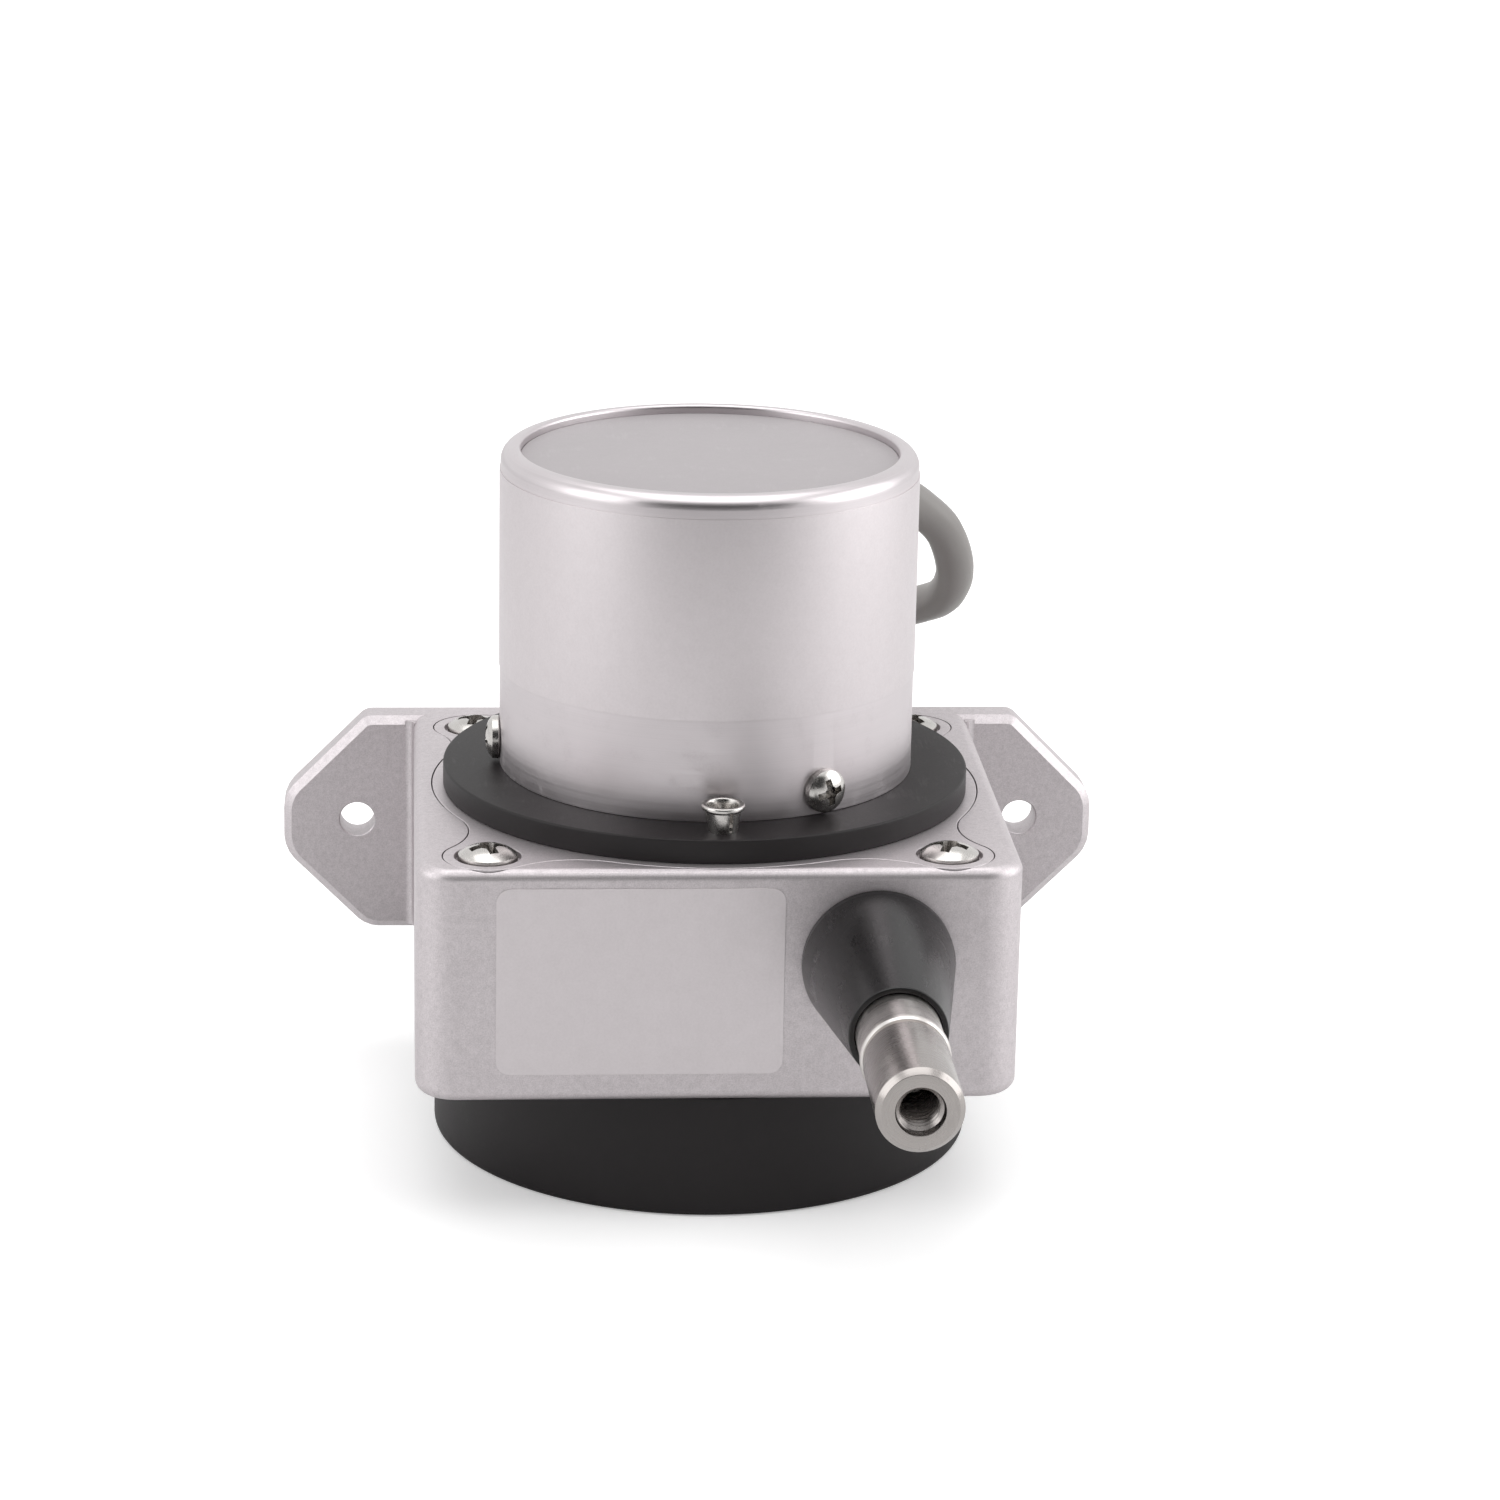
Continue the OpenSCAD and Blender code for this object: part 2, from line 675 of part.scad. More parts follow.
module cup_screws() {
    color([0.75, 0.75, 0.75]) cup_places() translate([0, 0, 0.1]) rotate([180, 0, 0])
        flat_screw(3, 1.5, cup_h + 2.5);
}

function spiral(k, n, grow) = let (t = k / n, a = 360 * spring_turns * t,
    r = arbor_r + spring_gap + spring_t / 2 + (spring_out - arbor_r) * t + grow) [r * cos(a), r * sin(a)];

// The flat spiral spring that winds the wire back in, and its hooked outer end
module mainspring() {
    n = spring_turns * spring_steps;
    color([0.35, 0.38, 0.42]) translate([0, 0, spring_low]) linear_extrude(spring_w)
        polygon(concat(
            [for (k = [0:n]) spiral(k, n, -spring_t / 2)],
            [[27.4, 0.4], [27.75, 1], [27.9, -0.2]],
            [for (k = [n:-1:0]) spiral(k, n, spring_t / 2)]));
}

// ---- Outlet ----

module wire_guide() {
    color([0.9, 0.9, 0.86]) at_outlet(26.5) difference() {
        cylinder(r = 4, h = body_front - 26.5 - 5);
        translate([0, 0, -1]) cylinder(r = 0.9, h = 20);
    }
}

module boot() {
    tip = boot_l;
    color([0.2, 0.19, 0.19]) at_outlet(body_front) difference() {
        rotate_extrude() {
            translate([0, -5]) square([6, 6]);
            polygon([[0, 0], [boot_base_r, 0], [boot_base_r, 1.2], [boot_tip_r + 0.1, tip - 0.3],
                [boot_tip_r, tip], [0, tip]]);
        }
        translate([0, 0, -6]) cylinder(r = 1.6, h = 60);
        translate([0, 0, tip - 3.4]) cylinder(r = ring_r + 0.3, h = 9);
    }
}

module wire() {
    color([0.6, 0.6, 0.6]) at_outlet(7) cylinder(r = wire_r, h = boot_tip - 2.7 - 7 + 4);
}

module wire_ferrule() {
    color([0.7, 0.6, 0.4]) at_outlet(boot_tip - 2.7 + 4) cylinder(r = 1.6, h = 3.4);
}

module swivel_ring() {
    len_r = fitting_split - 0.3 - (boot_tip - 2.7);
    collar_r = ring_r + 0.25;
    color([0.8, 0.79, 0.78]) at_outlet(boot_tip - 2.7) difference() {
        rotate_extrude() {
            polygon([[0, 0], [ring_r - 0.4, 0], [ring_r, 0.4], [ring_r, len_r - 1.6],
                [collar_r, len_r - 1.2], [collar_r, len_r - 0.4], [ring_r, len_r], [0, len_r]]);
            translate([0, len_r - eps]) square([2.6, 4]);
            translate([0, len_r + 2]) square([3.2, 2]);
        }
        translate([0, 0, -1]) cylinder(r = wire_r, h = 5.1);
        translate([0, 0, 4]) cylinder(r = 1.6, h = 30);
    }
}

module end_barrel() {
    len_b = fitting_front - fitting_split;
    color([0.8, 0.79, 0.78]) at_outlet(fitting_split) difference() {
        rotate_extrude() polygon([[0, 0], [barrel_r - 0.5, 0], [barrel_r, 0.5],
            [barrel_r, len_b - 0.8], [barrel_r - 0.7, len_b], [0, len_b]]);
        translate([0, 0, -1]) cylinder(r = 2.67, h = 5);
        translate([0, 0, 1.6]) cylinder(r = 3.3, h = 2.3);
        translate([0, 0, len_b - 13]) cylinder(r = 2.5, h = 20);
        translate([0, 0, len_b - 0.6]) cylinder(r1 = 2.5, r2 = 3.05, h = 0.65);
    }
}

// ---- Cable ----

module cable_axis(r) {
    rotate([0, 0, -cable_turn]) translate([0, r, cable_out_z]) rotate([-90, 0, 0]) children();
}

module cable_grommet() {
    wall_at = can_in;
    color([0.2, 0.2, 0.2]) cable_axis(wall_at) difference() {
        rotate_extrude() polygon([[0, -1.8], [5.4, -1.8], [5.4, -0.6], [4.25, -0.6], [4.25, 1.25],
            [5.2, 1.25], [5.2, 2.3], [3.9, 4.6], [0, 4.6]]);
        translate([0, 0, -5]) cylinder(r = cable_r + 0.05, h = 20);
    }
}

module cable() {
    color([0.55, 0.55, 0.53]) swept(path(ROUTE, 3), cable_r, 10);
}

module cable_coil() {
    w = 2 * cable_d;
    color([0.55, 0.55, 0.53]) translate([0, coil_y, 0]) rotate_extrude() {
        translate([coil_r, w / 2]) round_rect(w, w, cable_r);
    }
}

module cable_tie() {
    w = 2 * cable_d;
    color([0.12, 0.12, 0.12]) translate([-2, coil_y + coil_r, (w + 0.8) / 2]) rotate([90, 0, 90])
        linear_extrude(4) difference() {
            round_rect(w + 1.6, w + 0.8, 1.5);
            round_rect(w, w - 0.8, 1.2);
        }
}

// The stripped end: the sheath leaves the coil and its three leads fan out
module cable_tail() {
    color([0.55, 0.55, 0.53]) swept(path(TAIL, 2), cable_r, 10);
}

module lead(side) {
    tip = TAIL[len(TAIL) - 1];
    ahead = unit(tip - TAIL[len(TAIL) - 2]);
    across = side * [ahead[1], -ahead[0], 0];
    rise = side == 0 ? 2 : 3.55;
    swept(path([for (k = [0:4]) let (p = tip + FAN[k][0] * ahead + FAN[k][1] * across)
        [p[0], p[1], k < 2 ? rise : fan_z[k - 2]]], 2), lead_r, 8);
}

module brown_lead() {
    color([0.35, 0.2, 0.1]) lead(-1);
}

module black_lead() {
    color([0.1, 0.1, 0.1]) lead(1);
}

module shield_lead() {
    color([0.75, 0.74, 0.72]) lead(0);
}

// ---- Drum ----

module drum_shaft() {
    color([0.8, 0.8, 0.82]) translate([0, 0, 2.8]) cylinder(r = shaft_r, h = flange_z + 5.5 - 2.8);
}

module measuring_drum() {
    hub_r = 7;
    web_z = wire_z - 1.5;
    color([0.75, 0.76, 0.78]) difference() {
        union() {
            difference() {
                translate([0, 0, drum_low]) cylinder(r = drum_rim_r, h = drum_high - drum_low);
                // The track between the rims, and one groove for each turn of wire
                difference() {
                    translate([0, 0, drum_low + 1.2]) cylinder(r = drum_rim_r + 1, h = winding_h);
                    translate([0, 0, drum_low]) cylinder(r = turn_r - 0.25, h = winding_h + 3);
                }
                for (k = [0:wire_turns - 1]) translate([0, 0, drum_low + 1.2 + wire_pitch * (k + 0.5)])
                    rotate_extrude() translate([turn_r, 0]) circle(wire_r + 0.05);
                // Hollow on both sides of the web
                translate([0, 0, web_z + 3]) cylinder(r = turn_r - 3, h = 20);
                translate([0, 0, drum_low - 1]) cylinder(r = turn_r - 3, h = web_z - drum_low + 1);
            }
            translate([0, 0, big_z + big_w]) cylinder(r = hub_r - 1, h = drum_high - big_z - big_w);
            translate([0, 0, drum_high - eps]) cylinder(r = 5.2, h = small_z - drum_high + eps);
            translate([0, 0, web_z]) cylinder(r = hub_r + 3, h = 3);
        }
        translate([0, 0, 0]) cylinder(r = shaft_r, h = 90);
        for (a = [0:60:300]) rotate([0, 0, a]) translate([13.2, 0, web_z - 1]) cylinder(r = 2.6, h = 9);
        translate([0, 0, drum_high - 3]) rotate([0, 90, 0]) cylinder(r = 1.5, h = 8);
    }
}

module drum_screw() {
    color([0.2, 0.2, 0.22]) translate([shaft_r, 0, drum_high - 3]) rotate([0, 90, 0]) difference() {
        cylinder(r = 1.5, h = 2);
        translate([0, 0, 1]) cylinder(r = 0.75, h = 2, $fn = 6);
    }
}

module wire_winding() {
    color([0.6, 0.6, 0.6]) for (k = [0:wire_turns - 1])
        translate([0, 0, drum_low + 1.2 + wire_pitch * (k + 0.5)])
            rotate_extrude() translate([turn_r, 0]) circle(wire_r);
}

module spring_arbor() {
    color([0.6, 0.6, 0.62]) difference() {
        ring(shaft_r, arbor_r - 0.02, spring_low - 0.6, spring_w + 1.2);
        translate([-1, -arbor_r - 1, 0]) cube([2, 2, 20]);
    }
}

module retaining_ring() {
    color([0.3, 0.3, 0.32]) difference() {
        ring(shaft_r, 5.6, top_z, 0.8);
        translate([-1, 0, top_z - 1]) cube([2, 9, 4]);
    }
}

module shaft_coupling() {
    low = flange_z + 0.8;
    high = plate_z - 3.4;
    color([0.72, 0.73, 0.75]) difference() {
        translate([0, 0, low]) cylinder(r = 8, h = high - low);
        translate([0, 0, low - 1]) cylinder(r = shaft_r, h = 6.2);
        translate([0, 0, low + 4.9]) cylinder(r = pot_shaft_r, h = 20);
        for (k = [0:2]) translate([0, 0, low + 4 + 1.1 * k]) rotate([0, 0, 120 * k])
            translate([-5, -9, 0]) cube([14, 18, 0.5]);
        translate([0, 0, low + 2]) rotate([90, 0, 0]) cylinder(r = 1.2, h = 9);
        translate([0, 0, high - 1.6]) rotate([90, 0, 0]) cylinder(r = 1.2, h = 9);
    }
}

module coupling_screws() {
    low = flange_z + 0.8;
    high = plate_z - 3.4;
    color([0.2, 0.2, 0.22]) {
        translate([0, -shaft_r - 0.1, low + 2]) rotate([90, 0, 0]) cylinder(r = 1.2, h = 3);
        translate([0, -pot_shaft_r - 0.1, high - 1.6]) rotate([90, 0, 0]) cylinder(r = 1.2, h = 3);
    }
}

// The potentiometer's shaft with the wiper carrier that climbs the track
module pot_rotor() {
    low = flange_z + 6.2;
    color([0.78, 0.78, 0.8]) {
        translate([0, 0, low]) cylinder(r = pot_shaft_r, h = pot_z + 19.5 - low);
        translate([0, 0, pot_z + 2.6]) ring(pot_shaft_r - eps, 5.6, 0, 16);
        translate([5.5, -1.2, pot_z + 9]) cube([2.5, 2.4, 2.2]);
    }
}

housing();
lid();
lid_gasket();
lid_screws();
front_label();
sensor_flange();
flange_screws();
lock_screw();
sensor_can();
can_label();
can_cap();
can_screws();
sensor_bracket();
bracket_screws();
pot_housing();
pot_bushing();
pot_nut();
pot_element();
circuit_board();
board_parts();
upper_bearing();
lower_bearing();
upper_balls();
lower_balls();
spring_cup();
cup_seal();
cup_screws();
mainspring();
wire_guide();
boot();
cable_grommet();
cable();
cable_coil();
cable_tie();
cable_tail();
brown_lead();
black_lead();
shield_lead();
drum_shaft();
measuring_drum();
drum_screw();
wire_winding();
spring_arbor();
upper_inner_ring();
lower_inner_ring();
retaining_ring();
shaft_coupling();
coupling_screws();
pot_rotor();
wire();
wire_ferrule();
swivel_ring();
end_barrel();
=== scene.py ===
"""Looks of a draw wire displacement sensor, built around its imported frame.

The die-cast body, its lid and wall flange, the sensor can on its black flange, the spring cup, the rubber
boot, the wire's end fitting and the cable are modelled here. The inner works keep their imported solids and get
a finish.
Lengths are in metres. +X is right and +Y towards the wall flange, and the drum's axis is the Z axis.
"""

from __future__ import annotations

import logging
import math
from dataclasses import dataclass, field
from enum import Enum
from typing import Callable, NamedTuple, Sequence

import bmesh
import bpy
from mathutils import Matrix, Vector


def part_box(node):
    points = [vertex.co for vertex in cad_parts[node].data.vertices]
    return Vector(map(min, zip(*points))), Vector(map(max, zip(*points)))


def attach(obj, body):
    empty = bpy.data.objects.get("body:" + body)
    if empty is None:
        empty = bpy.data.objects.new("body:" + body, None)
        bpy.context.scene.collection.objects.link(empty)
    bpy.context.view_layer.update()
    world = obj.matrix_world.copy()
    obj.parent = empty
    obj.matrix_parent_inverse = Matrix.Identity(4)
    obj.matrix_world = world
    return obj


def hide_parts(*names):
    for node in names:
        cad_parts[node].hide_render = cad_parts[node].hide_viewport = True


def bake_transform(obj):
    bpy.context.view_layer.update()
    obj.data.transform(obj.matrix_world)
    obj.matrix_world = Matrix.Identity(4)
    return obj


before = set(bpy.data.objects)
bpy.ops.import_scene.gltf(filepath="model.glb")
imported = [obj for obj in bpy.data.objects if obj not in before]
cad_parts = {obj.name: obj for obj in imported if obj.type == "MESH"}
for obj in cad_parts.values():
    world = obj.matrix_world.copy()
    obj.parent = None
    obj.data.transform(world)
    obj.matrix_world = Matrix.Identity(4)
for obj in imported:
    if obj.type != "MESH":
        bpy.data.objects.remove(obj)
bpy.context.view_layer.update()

MM = 0.001
SAME_POINT = 1e-7
SAME_LEVEL = 1e-6
CORNER_STEP = math.radians(15)
SHARP = math.radians(30)
log = logging.getLogger("draw_wire_sensor")

Rgb = tuple[float, float, float]
Knot = tuple[float, float, float]
Feed = float | Sequence[float] | bpy.types.NodeSocket


# ---- Places in the frame ----


@dataclass(frozen=True)
class Box:
    """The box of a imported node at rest."""

    low: Vector
    high: Vector

    @classmethod
    def of(cls, node: str) -> Box:
        """The box of the node with that name."""
        return cls(*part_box(node))

    @property
    def size(self) -> Vector:
        """Width, depth and height."""
        return self.high - self.low

    @property
    def centre(self) -> Vector:
        """The middle of the box."""
        return (self.high + self.low) / 2


def box_of(node: str) -> Box:
    """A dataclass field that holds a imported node's box."""
    return field(default_factory=lambda: Box.of(node))


def turned(degrees: float, axis: str = "Z") -> Matrix:
    """A turn about an axis."""
    return Matrix.Rotation(math.radians(degrees), 4, axis)


def facing_front(place: Vector) -> Matrix:
    """A placement that turns a shape's +Z to -Y, the way the wire leaves, and moves it to a place."""
    return Matrix.Translation(place) @ turned(90, "X")


def linked(name: str, data: bpy.types.ID) -> bpy.types.Object:
    """A new object in the scene."""
    made = bpy.data.objects.new(name, data)
    bpy.context.scene.collection.objects.link(made)
    return made


# ---- Shapes ----


class Join(Enum):
    """How one shape meets another."""

    ADD = "UNION"
    CUT = "DIFFERENCE"


class Shape:
    """A closed mesh in the making, with the few moves that the pieces share."""

    def __init__(self) -> None:
        """Starts an empty mesh."""
        self.mesh = bmesh.new()

    @classmethod
    def lathe(cls, knots: Sequence[Knot], steps: int = 128) -> Shape:
        """Spins a profile about the Z axis.

        Args:
            knots: The profile's corners as radius, height and rounding. A profile that doesn't start and end
                on the axis is a ring's section, and closes itself.
            steps: How many faces make a full turn.

        Returns:
            The closed, outward-facing solid.
        """
        shape = cls()
        closed = knots[0][0] > 0 or knots[-1][0] > 0
        shape._outline(knots, closed, lambda r, h: Vector((r, 0, h)))
        mesh = shape.mesh
        bmesh.ops.spin(mesh, geom=mesh.verts[:] + mesh.edges[:], cent=(0, 0, 0), axis=(0, 0, 1),
                       dvec=(0, 0, 0), angle=math.tau, steps=steps, use_merge=True, use_duplicate=False)
        return shape.closed_up()

    @classmethod
    def prism(cls, knots: Sequence[Knot], low: float, high: float) -> Shape:
        """Raises a flat outline along Z.

        Args:
            knots: The outline's corners as x, y and rounding, in order.
            low: Height of the lower face.
            high: Height of the upper face.

        Returns:
            The closed, outward-facing solid.
        """
        shape = cls()
        shape._outline(knots, True, lambda x, y: Vector((x, y, low)))
        mesh = shape.mesh
        bmesh.ops.contextual_create(mesh, geom=mesh.edges[:])
        raised = bmesh.ops.extrude_face_region(mesh, geom=mesh.faces[:], use_keep_orig=True)
        top = [g for g in raised["geom"] if isinstance(g, bmesh.types.BMVert)]
        bmesh.ops.translate(mesh, verts=top, vec=(0, 0, high - low))
        return shape.closed_up()

    @classmethod
    def block(cls, low: Vector, high: Vector) -> Shape:
        """A square-edged block between two corners."""
        shape = cls()
        bmesh.ops.create_cube(shape.mesh, size=1.0)
        bmesh.ops.scale(shape.mesh, vec=high - low, verts=shape.mesh.verts)
        return shape.move(Matrix.Translation((high + low) / 2))

    @classmethod
    def rod(cls, radius: float, low: float, high: float, steps: int = 48) -> Shape:
        """A plain round rod about the Z axis."""
        return cls.lathe([(0, low, 0), (radius, low, 0), (radius, high, 0), (0, high, 0)], steps)

    def _outline(self, knots: Sequence[Knot], closed: bool, point: Callable[[float, float], Vector]) -> None:
        """Draws a line of knots and rounds its corners.

        Args:
            knots: Two coordinates and a rounding radius each.
            closed: Whether the last knot joins the first.
            point: Where a knot's two coordinates lie in space.
        """
        mesh = self.mesh
        places = [point(a, b) for a, b, _ in knots]
        verts = [mesh.verts.new(place) for place in places]
        pairs = list(zip(verts, verts[1:])) + ([(verts[-1], verts[0])] if closed else [])
        for pair in pairs:
            mesh.edges.new(pair)
        for i, (vert, knot) in enumerate(zip(verts, knots)):
            if knot[2] <= 0:
                continue
            back = (places[i - 1] - places[i]).normalized()
            ahead = (places[(i + 1) % len(places)] - places[i]).normalized()
            reach = knot[2] / math.tan(back.angle(ahead) / 2)
            turn = math.pi - back.angle(ahead)
            bmesh.ops.bevel(mesh, geom=[vert], offset=reach, offset_type="OFFSET", affect="VERTICES",
                            segments=max(2, round(turn / CORNER_STEP)), profile=0.5, material=-1)

    def closed_up(self) -> Shape:
        """Merges doubled points and turns every face outwards."""
        bmesh.ops.remove_doubles(self.mesh, verts=self.mesh.verts[:], dist=SAME_POINT)
        bmesh.ops.recalc_face_normals(self.mesh, faces=self.mesh.faces[:])
        return self

    def move(self, place: Matrix) -> Shape:
        """Turns or moves the whole shape."""
        bmesh.ops.transform(self.mesh, matrix=place, verts=self.mesh.verts[:])
        return self

    def narrow(self, level: float, factor: float) -> Shape:
        """Scales the points at one level towards the Z axis."""
        verts = [v for v in self.mesh.verts if abs(v.co.z - level) < SAME_LEVEL]
        bmesh.ops.scale(self.mesh, vec=(factor, factor, 1), verts=verts)
        return self

    def bevel(self, width: float, segments: int, chosen: Callable[[bmesh.types.BMEdge], bool]) -> Shape:
        """Rounds the edges for which a test holds.

        Args:
            width: How far the rounding reaches along each face.
            segments: Faces across the rounding.
            chosen: The test of an edge.

        Returns:
            The shape itself.
        """
        edges = [e for e in self.mesh.edges if chosen(e)]
        bmesh.ops.bevel(self.mesh, geom=edges, offset=width, offset_type="OFFSET", affect="EDGES",
                        segments=segments, profile=0.5, material=-1)
        return self

    def with_copy(self, other: Shape) -> Shape:
        """Takes another shape's faces in, as a solid of its own in the same mesh."""
        spare = other.release("spare")
        self.mesh.from_mesh(spare)
        bpy.data.meshes.remove(spare)
        return self

    def release(self, name: str) -> bpy.types.Mesh:
        """Hands the mesh over and ends the shape."""
        data = bpy.data.meshes.new(name)
        self.mesh.to_mesh(data)
        self.mesh.free()
        return data

    def _combine(self, tool: Shape, how: Join) -> Shape:
        """Joins or cuts this shape with another, which is used up."""
        body, knife = (linked("stand_in", shape.release("stand_in")) for shape in (self, tool))
        combine = body.modifiers.new("combine", "BOOLEAN")
        combine.solver, combine.operation, combine.object = "EXACT", how.value, knife
        graph = bpy.context.evaluated_depsgraph_get()
        made = bpy.data.meshes.new_from_object(body.evaluated_get(graph))
        self.mesh = bmesh.new()
        self.mesh.from_mesh(made)
        for data in (body.data, knife.data, made):
            bpy.data.meshes.remove(data)
        bmesh.ops.remove_doubles(self.mesh, verts=self.mesh.verts[:], dist=SAME_POINT)
        return self

    def add(self, tool: Shape) -> Shape:
        """Joins another shape on."""
        return self._combine(tool, Join.ADD)

    def cut(self, tool: Shape) -> Shape:
        """Cuts another shape away."""
        return self._combine(tool, Join.CUT)

    def to_object(self, name: str, smooth_below: float = 32.0) -> bpy.types.Object:
        """Ends the shape as a mesh object at the origin.

        Args:
            name: The object's name.
            smooth_below: The angle in degrees up to which two faces shade as one.

        Returns:
            The object, linked to the scene.
        """
        limit = math.radians(smooth_below)
        for face in self.mesh.faces:
            face.smooth = True
        for edge in self.mesh.edges:
            edge.smooth = edge.is_manifold and edge.calc_face_angle() < limit
        return linked(name, self.release(name))


def soft_edges(piece: bpy.types.Object, width: float, segments: int = 2, above: float = 40.0) -> None:
    """Breaks a piece's sharp edges, as tumbling or blasting does.

    Args:
        piece: The mesh object.
        width: Width of the broken edge.
        segments: Faces across it.
        above: Only edges sharper than this many degrees are broken.
    """
    edge = piece.modifiers.new("broken_edges", "BEVEL")
    edge.width, edge.segments, edge.limit_method = width, segments, "ANGLE"
    edge.angle_limit = math.radians(above)
    edge.harden_normals = True
    flat = piece.modifiers.new("flat_faces", "WEIGHTED_NORMAL")
    flat.keep_sharp = True


def at_level(level: float) -> Callable[[bmesh.types.BMEdge], bool]:
    """A test for edges that lie at one height and are sharp."""

    def test(edge: bmesh.types.BMEdge) -> bool:
        """Whether the edge lies at the level."""
        level_edge = all(abs(v.co.z - level) < SAME_LEVEL for v in edge.verts)
        return level_edge and edge.is_manifold and edge.calc_face_angle() > SHARP

    return test


def spread(shape: Callable[[], Shape], places: Sequence[Matrix]) -> Shape:
    """One mesh that holds a fresh copy of a shape at each place.

    Args:
        shape: Makes the shape at the origin.
        places: Where the copies go.

    Returns:
        The shape that holds them all.
    """
    made = Shape()
    for place in places:
        made.with_copy(shape().move(place))
    return made


# ---- Finishes ----


class Board:
    """A node tree with short ways to add nodes and join them."""

    def __init__(self, tree: bpy.types.NodeTree) -> None:
        """Takes the tree to work in."""
        self.tree = tree

    def feed(self, socket: bpy.types.NodeSocket, value: Feed) -> None:
        """Links an output to a socket, or sets the socket's own value."""
        if isinstance(value, bpy.types.NodeSocket):
            self.tree.links.new(value, socket)
        else:
            socket.default_value = value

    def add(self, kind: str, *inputs: Feed, **named: Feed | str | bool) -> bpy.types.Node:
        """Adds a node.

        Args:
            kind: The node's type without its "ShaderNode".
            *inputs: What goes into the first sockets, in order.
            **named: What goes into named sockets, or the node's own settings.

        Returns:
            The node.
        """
        node = self.tree.nodes.new("ShaderNode" + kind)
        sockets = {s.name.lower().replace(" ", "_"): s for s in reversed(node.inputs)}
        settings = {k: v for k, v in named.items() if k not in sockets}
        for key, value in settings.items():
            setattr(node, key, value)
        for key, value in named.items():
            if key in sockets:
                self.feed(sockets[key], value)
        for socket, value in zip(node.inputs, inputs):
            self.feed(socket, value)
        return node

    def math(self, operation: str, *inputs: Feed) -> bpy.types.NodeSocket:
        """The result of a calculation with one to three inputs."""
        return self.add("Math", *inputs, operation=operation).outputs[0]

    def mixed(self, first: Feed, share: float, second: Feed) -> bpy.types.NodeSocket:
        """Two values added up, the first by its share and the second by the rest."""
        rest = round(1 - share, 6)
        return self.math("MULTIPLY_ADD", first, share, self.math("MULTIPLY", second, rest))

    def remap(self, value: Feed, low: Feed, high: Feed, new_low: Feed,
              new_high: Feed) -> bpy.types.NodeSocket:
        """A value moved from one range to another, and held in it."""
        return self.add("MapRange", value, low, high, new_low, new_high).outputs[0]

    def tint(self, factor: Feed, dark: Rgb, light: Rgb) -> bpy.types.NodeSocket:
        """A colour between two, by a factor from 0 to 1."""
        node = self.tree.nodes.new("ShaderNodeMix")
        node.data_type = "RGBA"
        self.feed(node.inputs["Factor"], factor)
        self.feed(node.inputs[6], (*dark, 1))
        self.feed(node.inputs[7], (*light, 1))
        return node.outputs[2]

    def use(self, group: Effect, **named: Feed) -> bpy.types.Node:
        """Places a shared effect with its own values."""
        node = self.tree.nodes.new("ShaderNodeGroup")
        node.node_tree = group.tree
        for key, value in named.items():
            self.feed(node.inputs[key.replace("_", " ").capitalize()], value)
        return node


class Effect:
    """A node group that several finishes share, with named inputs and outputs."""

    def __init__(self, name: str, inputs: dict[str, float], outputs: Sequence[str]) -> None:
        """Makes the group.

        Args:
            name: The group's name.
            inputs: Names and first values of its number inputs, which follow a Vector input.
            outputs: Names of its outputs, each a number that changes over the surface.
        """
        self.tree = bpy.data.node_groups.new(name, "ShaderNodeTree")
        face = self.tree.interface
        face.new_socket("Vector", in_out="INPUT", socket_type="NodeSocketVector")
        for key, value in inputs.items():
            face.new_socket(key, in_out="INPUT", socket_type="NodeSocketFloat").default_value = value
        for key in outputs:
            face.new_socket(key, in_out="OUTPUT", socket_type="NodeSocketFloat")
        self.board = Board(self.tree)
        self.source = self.tree.nodes.new("NodeGroupInput").outputs
        self.result = self.tree.nodes.new("NodeGroupOutput").inputs


